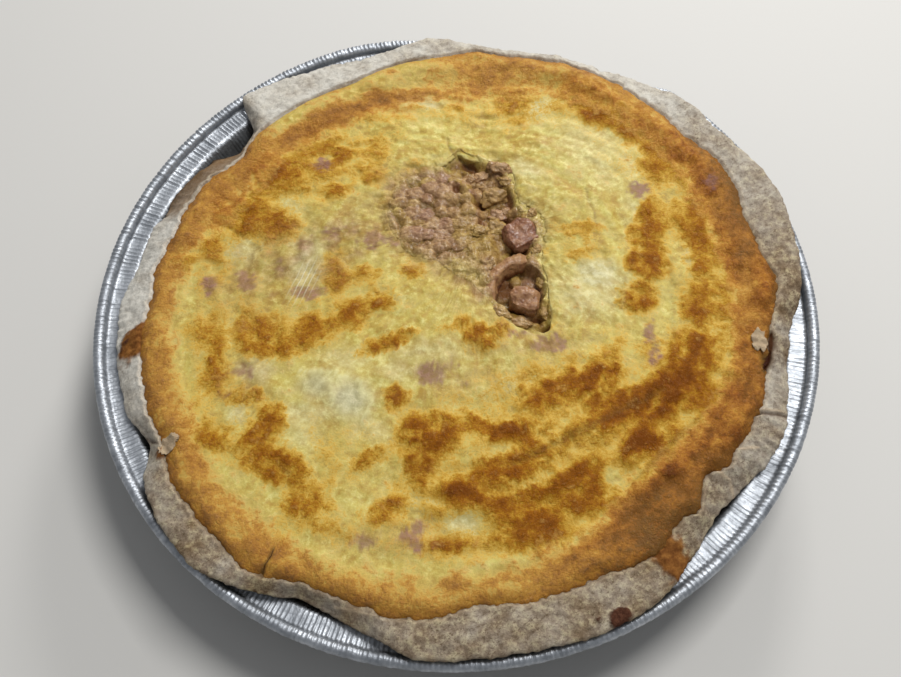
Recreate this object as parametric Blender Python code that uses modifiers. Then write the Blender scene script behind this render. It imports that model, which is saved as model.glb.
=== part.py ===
"""Ham and cheese tart, baked in a round foil tin.

Metres, +Z up. The origin is the middle of the tin's underside, +X is the
tart's right and +Y its far side. Angles are in degrees, from +X towards +Y.

A foil tin holds a pastry case, the case holds a ham filling, and a layer of
baked egg and cheese lies on it. The layer is torn open right of the middle,
where the filling and three pieces of ham show.
"""

import math

import bmesh
import bpy
import numpy as np
from mathutils import Matrix, Vector, noise

MM = 0.001

# Foil tin, a nine-inch pan
RIM_RADIUS = 115 * MM
BEAD_RADIUS = 1.8 * MM
BEAD_HEIGHT = 28.2 * MM
BEAD_TURNS = (200, 150, 100, 50, 0, -50)
FLANGE_HEIGHT = 27 * MM
FLANGE_RADIUS = 111 * MM
WALL_TOP_RADIUS = 105.2 * MM
FOOT_RADIUS = 84 * MM
FOIL = 0.5 * MM
# The foil's thickness measured level across the slanting wall
FOIL_LEVEL = 0.7 * MM
FOOT_ROUNDING = 1 * MM
TIN_SEGMENTS = 120
FLUTE_DEPTH = 0.35 * MM
TURN_MERGE = 0.01 * MM

# The rim is pressed in and bent down on the far side
DENT_ANGLE = 80
DENT_SPREAD = 16
DENT_IN = 5.5 * MM
DENT_DOWN = 2.5 * MM
DENT_INNER = 40 * MM
DENT_OUTER = 80 * MM

# Pastry case
GAP = 0.3 * MM
FOOD_SEGMENTS = 84
PASTRY = 3 * MM
PASTRY_LEAST = 2.4 * MM
CASE_CLEARANCE = 0.8 * MM
CASE_FOOT_RADIUS = 79.5 * MM
CASE_INNER_TOP = 101 * MM
CASE_INNER_HEIGHT = 29 * MM
LEAN_START = 9 * MM
WALL_LEVELS = (12 * MM, 20.5 * MM, CASE_INNER_HEIGHT)
BAND_LEAST = 3.5 * MM
BAND_HEIGHT = 33.6 * MM
# The lip's height where it ends short of the rim and where it lies over it
LIP_LOW = 30.2 * MM
LIP_HIGH = 33 * MM
LIP_SHORT = 106 * MM
LIP_LONG = 111.5 * MM
LIP_THICKNESS = 2.4 * MM
LIP_ROUNDING = 0.9 * MM
LIP_CROWN = 0.4 * MM
RIPPLE_HEIGHT = 0.5 * MM
RIPPLES = 9

# How far out the pastry reaches, in mm: it lies over the rim in places, ends
# in a cut flap at 130 degrees and stands clear of the tin wall after it
PASTRY_REACH = (
    (0, 110.5), (8, 112.3), (16, 114.4), (22, 114.5), (28, 113), (34, 111.4),
    (39, 112.9), (46, 111.2), (52, 109.3), (59, 108.4), (67, 110.4),
    (79, 111.8), (86, 113.4), (92, 113.4), (98, 108.4), (106, 106),
    (118, 107.8), (130, 111.2), (132.5, 98), (140, 94.6), (146, 99.4),
    (157, 101.5), (161, 104.6), (169, 104), (177, 107), (189, 107),
    (199, 106.7), (205.5, 102.6), (210, 108.8), (219, 112.7), (227, 113.9),
    (235, 110.3), (243, 104), (248, 104.8), (256, 108.2), (262, 113),
    (278, 112.3), (290, 113.4), (299, 112.2), (305, 108.4), (314, 104),
    (320, 104.9), (327, 108), (334, 108.5), (344, 105.2), (351, 105.2),
)
# Where the filling meets the pastry, in mm
FILLING_EDGE = (
    (0, 102.6), (6, 100.2), (14, 99.6), (22, 102.5), (29, 102.8), (36, 100.5),
    (45, 101.8), (54, 103.1), (67, 106.5), (83, 109.4), (92, 103.4),
    (101, 98.9), (110, 94.8), (122, 94.7), (133, 94.3), (141, 91.2),
    (149, 95.3), (164, 95.3), (171, 97), (178, 96.2), (185, 98.9),
    (200, 100), (207, 99.4), (215, 103), (224, 103.5), (234, 105.6),
    (243, 100.6), (253, 101.6), (260, 103), (266, 101.2), (272, 97.9),
    (280, 99.7), (292, 99), (303, 101.5), (311, 98), (319, 96.8),
    (329, 98.8), (336, 100.2), (342, 98.6), (352, 99.2),
)
CORNER_WINDOW = 4
EDGE_WINDOW = 8
LEAN_WINDOW = 24

# The tear, as distances in mm from its own middle
TEAR_MIDDLE = Vector((12.3 * MM, 25 * MM))
TEAR_REACH = (
    (0, 18.5), (15, 18.4), (40, 17.2), (56, 18.8), (66, 26.5), (80, 32),
    (96, 37), (104, 42.5), (113, 31), (126, 31), (144, 35), (162, 34.5),
    (182, 30.5), (206, 27), (232, 26), (250, 26.5), (264, 30.5), (276, 36.5),
    (288, 42), (296, 44), (302, 34.5), (309, 29.5), (321, 22.5), (336, 19.2),
)

# Egg and cheese layer
SKIN_UNDER = CASE_INNER_HEIGHT + GAP
SKIN_LEVEL = 33.6 * MM
SKIN_GAP = 0.5 * MM
PUFF_HEIGHT = 2.1 * MM
PUFF_MIDDLE = 5.5 * MM
PUFF_WIDTH = 5 * MM
TEAR_STOPS = (0.5 * MM, 1.2 * MM, 4 * MM)
RIM_STOPS = (13 * MM, 9 * MM, 5.5 * MM, 2.4 * MM, 0)
MIDDLE_RINGS = 7
TORN_EDGE = 1.2 * MM
# Swellings and hollows of the baked top: x, y, spread and height, in mm
SWELLS = (
    (43, 27, 17, 1.5), (33, 48, 14, 0.8), (-5, -8, 15, 0.7), (-36, -31, 9, 0.9),
    (36, -52, 15, 1), (62, -28, 13, 0.9), (5, -60, 16, 0.6), (-48, 42, 15, 0.6),
    (-58, 4, 15, -0.7), (-20, -58, 12, -0.7), (60, 22, 10, -0.6), (8, -32, 11, -0.6),
)
RELIEF_SIZE = 11 * MM
RELIEF_HEIGHT = 0.55 * MM
# The top dips this much at the pastry, within this distance of it
EDGE_DIP = 0.8 * MM
EDGE_DIP_WIDTH = 3 * MM

# Ham filling
PLUG_RINGS = 12
PLUG_SHARE = 0.965
CHANNEL_BED = 3 * MM
CHANNEL_WIDTH = 9 * MM
CHANNEL_DEPTH = 3.6 * MM
SHALLOW_DEPTH = 0.7 * MM
LUMP_SIZE = 4.6 * MM
LUMP_HEIGHT = 1.5 * MM
# The deep channel of the tear, x and y in mm
CHANNEL = ((2, 60), (9, 53), (13, 40), (15, 27), (19, 12), (21, 0), (27, -12))

# Ham pieces in the tear, and the two pockets of the filling that they lie in
SLAB_PLACE = Vector((23.2, 23.8, 30.8)) * MM
SLAB_SIZE = Vector((9.4, 10.6, 6)) * MM
SLAB_TURN = 20
CURL_PLACE = Vector((22, 3.4, 30.3)) * MM
CURL_RADIUS = 9.4 * MM
CURL_WIDTH = 5.6 * MM
CURL_THICKNESS = 1.7 * MM
CURL_START = 70
CURL_TURN = 136
CURL_STEPS = 16
CURL_ROWS = 3
CHUNK_PLACE = Vector((22.6, -1.2, 31)) * MM
CHUNK_SIZE = Vector((9.4, 8.8, 6.4)) * MM
CHUNK_TURN = -15
BLOCK_ROUNDNESS = 0.55
BLOCK_BALL = 0.62
SLAB_POCKET = (SLAB_PLACE.x, SLAB_PLACE.y, 7 * MM)
CURL_POCKET = (20.4 * MM, 3.6 * MM, 12.4 * MM)
POCKET_FLOOR = 27 * MM
POCKET_RIM = 1.8 * MM

SHARP_ANGLE = 50
FOIL_COLOUR = (0.78, 0.79, 0.80, 1)
PASTRY_COLOUR = (0.50, 0.43, 0.34, 1)
FILLING_COLOUR = (0.52, 0.33, 0.19, 1)
SKIN_COLOUR = (0.72, 0.50, 0.12, 1)
HAM_COLOUR = (0.50, 0.24, 0.19, 1)


def clear_scene():
    """Start from an empty scene."""
    for item in list(bpy.data.objects):
        bpy.data.objects.remove(item)


def material(name, colour, roughness, metallic=0.0):
    """A Principled material."""
    result = bpy.data.materials.new(name)
    result.use_nodes = True
    shader = result.node_tree.nodes["Principled BSDF"]
    shader.inputs["Base Color"].default_value = colour
    shader.inputs["Roughness"].default_value = roughness
    shader.inputs["Metallic"].default_value = metallic
    return result


def add_part(mesh, collection, finish):
    """Put a mesh in the tart's collection as an object of the same name."""
    part = bpy.data.objects.new(mesh.name, mesh)
    collection.objects.link(part)
    mesh.materials.append(finish)
    mesh.shade_smooth()
    mesh.set_sharp_from_angle(angle=math.radians(SHARP_ANGLE))
    return part


def blend(start, end, value):
    """0 before start, 1 after end, and smooth between them."""
    share = np.clip((value - start) / (end - start), 0, 1)
    return share * share * (3 - 2 * share)


def rounded(samples, window):
    """Half-degree samples of a closed curve, averaged over a window of as many samples each way."""
    spread = np.arange(-window, window + 1)
    weights = np.cos(spread / (window + 1) * math.pi / 2) ** 2
    return sum(w * np.roll(samples, s) for s, w in zip(spread, weights)) / weights.sum()


def closed_curve(stations):
    """Half-degree samples of a closed curve through stations in mm, with rounded corners."""
    angles, values = np.array(stations, float).T
    samples = np.interp(np.arange(720) / 2, angles, values, period=360)
    return rounded(samples, CORNER_WINDOW) * MM


def read_curve(curve, degrees):
    """The value of a closed curve at angles in degrees."""
    return np.interp(np.asarray(degrees) % 360, np.arange(720) / 2, curve, period=360)


REACH = closed_curve(PASTRY_REACH)
EDGE = rounded(np.minimum(closed_curve(FILLING_EDGE), REACH - BAND_LEAST), EDGE_WINDOW)
TEAR = closed_curve(TEAR_REACH)
# The slow part of the edge's wander, which the whole wall leans by
LEAN = rounded(np.maximum(0, CASE_INNER_TOP - EDGE), LEAN_WINDOW)


def wall_radius(height):
    """Inside of the tin wall."""
    foot, top = FOIL, FLANGE_HEIGHT
    return FOOT_RADIUS + (WALL_TOP_RADIUS - FOOT_RADIUS) * (height - foot) / (top - foot)


def outer_wall(degrees, height):
    """Outside of the pastry wall, which leaves the tin where the pastry stands clear."""
    against_tin = wall_radius(height) - CASE_CLEARANCE
    top = wall_radius(FLANGE_HEIGHT) - CASE_CLEARANCE
    clear = np.maximum(0, top - (read_curve(REACH, degrees) - LIP_ROUNDING))
    return against_tin - clear * blend(LEAN_START, CASE_INNER_HEIGHT, height)


def inner_wall(degrees, height):
    """Inside of the pastry wall."""
    foot = FOIL + GAP + PASTRY
    rise = (height - foot) / (CASE_INNER_HEIGHT - foot)
    plain = CASE_FOOT_RADIUS + (CASE_INNER_TOP - CASE_FOOT_RADIUS) * rise
    leant = plain - read_curve(LEAN, degrees) * blend(LEAN_START, CASE_INNER_HEIGHT, height)
    return np.minimum(leant, outer_wall(degrees, height) - PASTRY_LEAST)


def pressed(points):
    """Points after the rim's dent: in and down at the far side, fading to the foot."""
    x, y, z = points.T
    radius = np.hypot(x, y)
    degrees = np.degrees(np.arctan2(y, x))
    away = (degrees - DENT_ANGLE + 180) % 360 - 180
    share = np.exp(-((away / DENT_SPREAD) ** 2)) * blend(DENT_INNER, DENT_OUTER, radius)
    share = share * np.clip((z - FOIL) / (FLANGE_HEIGHT - FOIL), 0, 1)
    scale = 1 - DENT_IN * share / np.maximum(radius, DENT_INNER)
    return np.stack([x * scale, y * scale, z - DENT_DOWN * share], 1)


def press(part):
    """Dent a part's own mesh."""
    mesh = part.data
    points = np.array([vertex.co for vertex in mesh.vertices])
    mesh.vertices.foreach_set("co", pressed(points).ravel())
    mesh.update()


def food_angles():
    """The angles, the same in every layer, at which the food's outlines are read."""
    return np.arange(FOOD_SEGMENTS) * 360 / FOOD_SEGMENTS


def ring(degrees, radius, height):
    """Points of one ring about the tin's axis."""
    turn = np.radians(degrees)
    height = np.broadcast_to(height, turn.shape)
    return np.stack([radius * np.cos(turn), radius * np.sin(turn), height], 1)


def loft(name, rings):
    """A closed solid through rings of points, from over the top to the underside.

    A ring of one point closes an end; without such ends the last ring meets
    the first. Faces that meet across a gap are split along the same diagonal.
    """
    shape = bmesh.new()
    loops = [[shape.verts.new(point) for point in points] for points in rings]
    if len(loops[0]) > 1:
        loops.append(loops[0])
    for upper, lower in zip(loops, loops[1:]):
        count = max(len(upper), len(lower))
        for i in range(count):
            j = (i + 1) % count
            if len(upper) == 1:
                corners = (upper[0], lower[i], lower[j])
            elif len(lower) == 1:
                corners = (upper[i], lower[0], upper[j])
            else:
                corners = (upper[i], lower[i], lower[j], upper[j])
            shape.faces.new(corners)
    bmesh.ops.triangulate(shape, faces=shape.faces[:], quad_method="SHORT_EDGE")
    mesh = bpy.data.meshes.new(name)
    shape.to_mesh(mesh)
    shape.free()
    return mesh


def turned(name, profile, segments):
    """A solid turned about Z from (radius, height) points, over the top and down its outer side."""
    mesh = bpy.data.meshes.new(name)
    points = [(radius, 0, height) for radius, height in profile]
    mesh.from_pydata(points, [(i, i + 1) for i in range(len(points) - 1)], [])
    blank = bpy.data.objects.new(name, mesh)
    bpy.context.scene.collection.objects.link(blank)
    screw = blank.modifiers.new("Turn", "SCREW")
    screw.axis = "Z"
    screw.steps = segments
    screw.render_steps = segments
    screw.use_merge_vertices = True
    screw.merge_threshold = TURN_MERGE
    evaluated = blank.evaluated_get(bpy.context.evaluated_depsgraph_get())
    result = bpy.data.meshes.new_from_object(evaluated)
    bpy.data.objects.remove(blank)
    bpy.data.meshes.remove(mesh)
    result.name = name
    return result


def make_tin(collection):
    """Foil pan with a fluted wall, a narrow flange and a rolled rim."""
    bead_middle = RIM_RADIUS - BEAD_RADIUS
    bead = []
    for degrees in BEAD_TURNS:
        turn = math.radians(degrees)
        out, up = BEAD_RADIUS * math.cos(turn), BEAD_RADIUS * math.sin(turn)
        bead.append((bead_middle + out, BEAD_HEIGHT + up))
    foot = wall_radius(FOIL + FOOT_ROUNDING)
    profile = [
        (0, FOIL),
        (FOOT_RADIUS - 2 * FOOT_ROUNDING, FOIL),
        (foot, FOIL + FOOT_ROUNDING),
        (WALL_TOP_RADIUS, FLANGE_HEIGHT),
        (FLANGE_RADIUS, FLANGE_HEIGHT),
        *bead,
        (FLANGE_RADIUS, FLANGE_HEIGHT - FOIL),
        (WALL_TOP_RADIUS + FOIL_LEVEL, FLANGE_HEIGHT - FOIL),
        (foot + FOIL_LEVEL, FOOT_ROUNDING),
        (FOOT_RADIUS - 2 * FOOT_ROUNDING + FOIL_LEVEL, 0),
        (0, 0),
    ]
    mesh = turned("foil_tin", profile, TIN_SEGMENTS)
    for vertex in mesh.vertices:
        radius = vertex.co.xy.length
        if FOOT_RADIUS < radius < WALL_TOP_RADIUS + 2 * FOIL_LEVEL:
            step = round(math.atan2(vertex.co.y, vertex.co.x) / math.tau * TIN_SEGMENTS)
            flute = FLUTE_DEPTH if step % 2 else -FLUTE_DEPTH
            vertex.co.xy *= (radius + flute) / radius
    tin = add_part(mesh, collection, material("foil", FOIL_COLOUR, 0.3, 1.0))
    press(tin)
    return tin


def make_case(collection):
    """Pastry case: floor, leaning wall, and a lip that wanders over the rim."""
    degrees = food_angles()
    reach = read_curve(REACH, degrees)
    edge = read_curve(EDGE, degrees)
    floor = FOIL + GAP
    inside_floor = floor + PASTRY
    lip = LIP_LOW + (LIP_HIGH - LIP_LOW) * blend(LIP_SHORT, LIP_LONG, reach)
    around = [Vector((math.cos(a), math.sin(a), 0)) for a in np.radians(degrees)]
    ripple = np.array([noise.noise(point * RIPPLES) for point in around])
    inner = BAND_HEIGHT + RIPPLE_HEIGHT * ripple
    low = lip - LIP_THICKNESS
    # The lip's underside leaves the wall at its top and rises clear of the rim
    under = np.minimum(reach - LIP_ROUNDING, wall_radius(FLANGE_HEIGHT) - CASE_CLEARANCE)
    under_height = FLANGE_HEIGHT + GAP
    rising = (under + reach) / 2
    rising_height = (under_height + low) / 2 + 2 * GAP
    rings = [
        [(0, 0, inside_floor)],
        ring(degrees, CASE_FOOT_RADIUS, inside_floor),
        *(ring(degrees, inner_wall(degrees, z), z) for z in WALL_LEVELS),
        ring(degrees, edge, inner - LIP_ROUNDING),
        ring(degrees, edge + LIP_ROUNDING, inner),
        ring(degrees, (reach + edge) / 2, (inner + lip) / 2 + LIP_CROWN),
        ring(degrees, reach - LIP_ROUNDING, lip),
        ring(degrees, reach, lip - LIP_ROUNDING),
        ring(degrees, reach - LIP_ROUNDING / 2, low),
        ring(degrees, rising, rising_height),
        ring(degrees, under, under_height),
        ring(degrees, outer_wall(degrees, WALL_LEVELS[1]), WALL_LEVELS[1]),
        ring(degrees, outer_wall(degrees, WALL_LEVELS[0]), WALL_LEVELS[0]),
        ring(degrees, wall_radius(floor) - 3 * CASE_CLEARANCE, floor),
        [(0, 0, floor)],
    ]
    mesh = loft("pastry_case", rings)
    case = add_part(mesh, collection, material("pastry", PASTRY_COLOUR, 0.85))
    press(case)
    return case


def spoke_ring(direction, distance, height_at):
    """Points at a distance along each spoke, at a height or on a surface."""
    x = TEAR_MIDDLE.x + distance * direction[:, 0]
    y = TEAR_MIDDLE.y + distance * direction[:, 1]
    height = height_at(x, y) if callable(height_at) else np.full(len(x), height_at)
    return np.stack([x, y, height], 1)


def skin_height(x, y):
    """Top of the egg and cheese layer: a puffed ring round a gently uneven field."""
    inward = read_curve(EDGE, np.degrees(np.arctan2(y, x))) - np.hypot(x, y)
    height = SKIN_LEVEL + PUFF_HEIGHT * np.exp(-(((inward - PUFF_MIDDLE) / PUFF_WIDTH) ** 2))
    for place_x, place_y, spread, rise in SWELLS:
        away = np.hypot(x - place_x * MM, y - place_y * MM) / (spread * MM)
        height = height + rise * MM * np.exp(-(away ** 2))
    relief = [noise.fractal(Vector((a, b, 0)) / RELIEF_SIZE, 0.9, 2.0, 3) for a, b in zip(x, y)]
    field = blend(0, EDGE_DIP_WIDTH, inward)
    height = height + RELIEF_HEIGHT * np.array(relief) * field
    return height - (1 - field) * EDGE_DIP


def channel_distance(x, y):
    """Distance from the middle line of the tear's deep channel."""
    best = np.full(len(x), 1.0)
    line = np.array(CHANNEL) * MM
    for start, end in zip(line, line[1:]):
        along = end - start
        share = ((x - start[0]) * along[0] + (y - start[1]) * along[1]) / (along @ along)
        share = np.clip(share, 0, 1)
        gap = np.hypot(x - start[0] - share * along[0], y - start[1] - share * along[1])
        best = np.minimum(best, gap)
    return best


def tear_floor(x, y):
    """Lumpy ham filling in the tear, hollowed where a piece of ham lies in it."""
    deep = 1 - blend(CHANNEL_BED, CHANNEL_WIDTH, channel_distance(x, y))
    height = skin_height(x, y) - SHALLOW_DEPTH - (CHANNEL_DEPTH - SHALLOW_DEPTH) * deep
    lumps = []
    for a, b in zip(x, y):
        near = noise.voronoi(Vector((a, b, 0)) / LUMP_SIZE)[0][0]
        lumps.append(LUMP_HEIGHT * (0.5 - near))
    height = height + np.array(lumps)
    for middle_x, middle_y, reach in (SLAB_POCKET, CURL_POCKET):
        inside = 1 - blend(reach, reach + POCKET_RIM, np.hypot(x - middle_x, y - middle_y))
        height = height + np.minimum(0, POCKET_FLOOR - height) * inside
    return height


def skin_stops(length):
    """Distances along a spoke, from the tear's edge to the pastry."""
    first = TEAR_STOPS[-1]
    last = length - RIM_STOPS[0]
    middle = [first + (last - first) * (i + 1) / (MIDDLE_RINGS + 1) for i in range(MIDDLE_RINGS)]
    return [*TEAR_STOPS, *middle, *(length - stop for stop in RIM_STOPS)]


def spokes():
    """Spokes from the tear's middle to the filling's edge: directions, tear's edge, full length."""
    degrees = food_angles()
    edge = ring(degrees, read_curve(EDGE, degrees) - SKIN_GAP, 0)[:, :2]
    spoke = edge - np.array(TEAR_MIDDLE)
    length = np.hypot(*spoke.T)
    bearing = np.degrees(np.arctan2(spoke[:, 1], spoke[:, 0]))
    return spoke / length[:, None], read_curve(TEAR, bearing), length


def make_skin(collection):
    """Egg and cheese layer: between the pastry and the tear, open at the tear."""
    degrees = food_angles()
    direction, tear, length = spokes()
    rings = [spoke_ring(direction, tear + stop, skin_height) for stop in skin_stops(length - tear)]
    torn = spoke_ring(direction, tear, skin_height)
    torn[:, 2] -= TORN_EDGE
    rings.append(ring(degrees, inner_wall(degrees, CASE_INNER_HEIGHT) - SKIN_GAP, SKIN_UNDER))
    rings.append(spoke_ring(direction, tear, SKIN_UNDER))
    rings.append(torn)
    mesh = loft("egg_cheese_top", rings)
    skin = add_part(mesh, collection, material("egg_and_cheese", SKIN_COLOUR, 0.45))
    press(skin)
    return skin


def make_filling(collection):
    """Ham filling: fills the case, and rises into the tear as a lumpy plug."""
    degrees = food_angles()
    direction, tear, _ = spokes()
    plug = tear * PLUG_SHARE - GAP
    floor = FOIL + 2 * GAP + PASTRY
    middle = tear_floor(np.array([TEAR_MIDDLE.x]), np.array([TEAR_MIDDLE.y]))
    rings = [[(TEAR_MIDDLE.x, TEAR_MIDDLE.y, middle[0])]]
    for i in range(PLUG_RINGS):
        rings.append(spoke_ring(direction, plug * (i + 1) / PLUG_RINGS, tear_floor))
    rings.append(spoke_ring(direction, plug, CASE_INNER_HEIGHT))
    for level in reversed(WALL_LEVELS):
        rings.append(ring(degrees, inner_wall(degrees, level) - SKIN_GAP, level))
    rings.append(ring(degrees, CASE_FOOT_RADIUS - SKIN_GAP, floor))
    rings.append([(0, 0, floor)])
    mesh = loft("ham_filling", rings)
    filling = add_part(mesh, collection, material("ham_and_egg", FILLING_COLOUR, 0.5))
    press(filling)
    return filling


def lumpy_block(name, size, place, turn, bump_size, bump_height):
    """A rounded, uneven block of ham."""
    shape = bmesh.new()
    bmesh.ops.create_cube(shape, size=1)
    bmesh.ops.subdivide_edges(shape, edges=shape.edges[:], cuts=3, use_grid_fill=True)
    for vertex in shape.verts:
        cube = vertex.co.copy()
        outward = cube.normalized()
        vertex.co = cube.lerp(outward * BLOCK_BALL, BLOCK_ROUNDNESS)
        vertex.co = Vector([a * b for a, b in zip(vertex.co, size)])
        vertex.co += outward * bump_height * noise.noise((vertex.co + place) / bump_size)
    mesh = bpy.data.meshes.new(name)
    shape.transform(Matrix.Translation(place) @ Matrix.Rotation(math.radians(turn), 4, "Z"))
    shape.to_mesh(mesh)
    shape.free()
    return mesh


def curl_point(along, across):
    """A point of the curled strip, from its share of the length and of the width."""
    turn = math.radians(CURL_START + CURL_TURN * along)
    middle = math.sin(math.pi * along)
    radius = CURL_RADIUS * (1.06 - 0.1 * middle) * (1 + 0.12 * (across - 0.5))
    height = CURL_WIDTH * (across - 0.5) * (0.75 + 0.25 * middle)
    return Vector((radius * math.cos(turn), radius * math.sin(turn), height)) + CURL_PLACE


def make_curl(name):
    """A thin strip of ham that stands on its edge, curled round a hollow."""
    shape = bmesh.new()
    bmesh.ops.create_grid(shape, x_segments=CURL_STEPS, y_segments=CURL_ROWS, size=0.5)
    for vertex in shape.verts:
        vertex.co = curl_point(vertex.co.x + 0.5, vertex.co.y + 0.5)
    mesh = bpy.data.meshes.new(name)
    shape.to_mesh(mesh)
    shape.free()
    return mesh


def make_ham(collection):
    """Three pieces of ham that lie in the tear."""
    finish = material("ham", HAM_COLOUR, 0.4)
    slab = lumpy_block("ham_slab", SLAB_SIZE, SLAB_PLACE, SLAB_TURN, 5 * MM, 0.9 * MM)
    add_part(slab, collection, finish)
    curl = add_part(make_curl("ham_curl"), collection, finish)
    shell = curl.modifiers.new("Thickness", "SOLIDIFY")
    shell.thickness = CURL_THICKNESS
    shell.offset = 0
    chunk = lumpy_block("ham_chunk", CHUNK_SIZE, CHUNK_PLACE, CHUNK_TURN, 4 * MM, 1.3 * MM)
    add_part(chunk, collection, finish)


def main():
    clear_scene()
    tart = bpy.data.collections.new("ham_and_cheese_tart")
    bpy.context.scene.collection.children.link(tart)
    make_tin(tart)
    make_case(tart)
    make_filling(tart)
    make_skin(tart)
    make_ham(tart)


main()
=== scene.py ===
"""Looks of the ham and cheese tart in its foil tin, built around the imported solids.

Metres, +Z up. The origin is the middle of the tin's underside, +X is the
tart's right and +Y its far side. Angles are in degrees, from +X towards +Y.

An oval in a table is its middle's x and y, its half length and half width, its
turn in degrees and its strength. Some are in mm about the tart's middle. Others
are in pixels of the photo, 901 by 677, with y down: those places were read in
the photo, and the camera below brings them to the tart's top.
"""

import math

import bmesh
import bpy
import numpy as np
from mathutils import Matrix, Vector, noise


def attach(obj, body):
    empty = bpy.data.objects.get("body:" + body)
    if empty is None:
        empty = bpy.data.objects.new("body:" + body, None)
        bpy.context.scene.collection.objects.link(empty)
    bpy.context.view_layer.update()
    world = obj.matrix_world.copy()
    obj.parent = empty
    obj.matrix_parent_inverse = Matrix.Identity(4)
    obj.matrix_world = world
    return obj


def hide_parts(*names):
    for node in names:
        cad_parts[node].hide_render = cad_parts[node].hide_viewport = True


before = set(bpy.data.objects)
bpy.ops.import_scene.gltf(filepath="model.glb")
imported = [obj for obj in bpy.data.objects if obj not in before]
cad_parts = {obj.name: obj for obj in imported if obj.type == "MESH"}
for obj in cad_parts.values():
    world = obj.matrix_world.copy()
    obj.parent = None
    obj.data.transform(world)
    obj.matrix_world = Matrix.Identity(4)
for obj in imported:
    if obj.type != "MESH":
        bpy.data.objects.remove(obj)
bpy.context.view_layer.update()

MM = 0.001

# Camera: the photo looks down at 60 degrees, a little rolled
SENSOR = 36
LENS = 45.14
CAMERA_PLACE = Vector((0, -178.3, 342.7)) * MM
CAMERA_AIM = Vector((-1.5, -12.9, 30)) * MM
CAMERA_ROLL = 3.09
FRAME_WIDTH = 901
FRAME_HEIGHT = 677
# Height at which places read in the photo are taken to lie
SEEN_HEIGHT = 34 * MM

# Foil tin, a nine-inch pan. FOIL_LEVEL is the wall's thickness measured level
RIM_RADIUS = 115 * MM
BEAD_RADIUS = 1.8 * MM
BEAD_HEIGHT = 28.2 * MM
FLANGE_HEIGHT = 27 * MM
FLANGE_RADIUS = 111 * MM
WALL_TOP_RADIUS = 105.2 * MM
FOOT_RADIUS = 84 * MM
FOIL = 0.5 * MM
FOIL_LEVEL = 0.7 * MM
# The bead's roll, and the radii between which the crimps start, are full, fade and end
BEAD_START = 205
BEAD_END = -60
BEAD_STEPS = 13
CRIMPED_RADII = (FOOT_RADIUS - 8 * MM, FOOT_RADIUS + 6 * MM, WALL_TOP_RADIUS, WALL_TOP_RADIUS + 2 * MM)
RIM_FADE = 3 * MM
CRIMPS = 480
CRIMP_STEPS = 3
CRIMP_DEPTH = 0.55 * MM
KNURL_DEPTH = 0.4 * MM
SAG_DEPTH = 0.25 * MM
BASE_RISE = 0.4 * MM

# Where the tin's rings lie, in mm: radii on the floor, heights up the inside of the
# wall, radius and height over the flange, heights down the outside, radii underneath
FLOOR_RADII = (20, 45, 65, 78)
INSIDE_HEIGHTS = (1.5, 4, 7, 10, 13, 16, 18.5, 21, 23, 24.5, 26)
FLANGE_RINGS = ((106.3, 27.2), (108, 27), (110.4, 27.1))
OUTSIDE_HEIGHTS = (24.5, 21, 17, 13, 9, 5, 1.5)
RAISED_RADII = (66, 30, 12)

# The rim is pressed in and bent down on the far side
DENT_ANGLE = 80
DENT_SPREAD = 16
DENT_IN = 5.5 * MM
DENT_DOWN = 2.5 * MM
DENT_INNER = 40 * MM
DENT_OUTER = 80 * MM
# Beside the dent the rim is folded in under the pastry
TUCK_IN = 5 * MM
TUCK_DOWN = 2.6 * MM

# Stretches of the tart by bearing: where each starts, is full, starts to fade and ends
TUCK_STRETCH = (45, 55, 71, 81)
FLAP_STRETCH = (90, 95, 131, 133)
NOTCH_STRETCH = (134, 137, 156, 161)
SKIRT_STRETCH = (136, 143, 153, 160)
PLAIN_STRETCH = (82, 100, 128, 140)

# Pastry case
GAP = 0.3 * MM
PASTRY = 3 * MM
PASTRY_LEAST = 2.4 * MM
CASE_CLEARANCE = 0.8 * MM
CASE_SLACK = 0.5 * MM
CASE_FOOT_RADIUS = 79.5 * MM
CASE_INNER_TOP = 101 * MM
CASE_INNER_HEIGHT = 29 * MM
CASE_INSIDE_HEIGHTS = (12 * MM, 20.5 * MM)
CASE_OUTSIDE_HEIGHTS = (24 * MM, 20.5 * MM, 16 * MM, 12 * MM)
BAND_START_HEIGHT = 31.5 * MM
LEAN_START = 9 * MM
BAND_LEAST = 3.5 * MM
BAND_HEIGHT = 33.6 * MM
BAND_UNDERLAP = 2.5 * MM
REACH_MOST = 114.6 * MM
# The band dives under the egg over these distances outside the border, and its
# marks are raised over these heights
SHORE_FADE = (-0.3 * MM, 0.5 * MM)
BAND_FADE = (29.5 * MM, 31 * MM)
LIP_LOW = 30.2 * MM
LIP_HIGH = 33 * MM
LIP_SHORT = 106 * MM
LIP_LONG = 111.5 * MM
LIP_THICKNESS = 2.4 * MM
LIP_ROUNDING = 0.9 * MM
LIP_CROWN = 0.4 * MM
PASTRY_SPOKES = 1440
BAND_RINGS = 26

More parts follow.
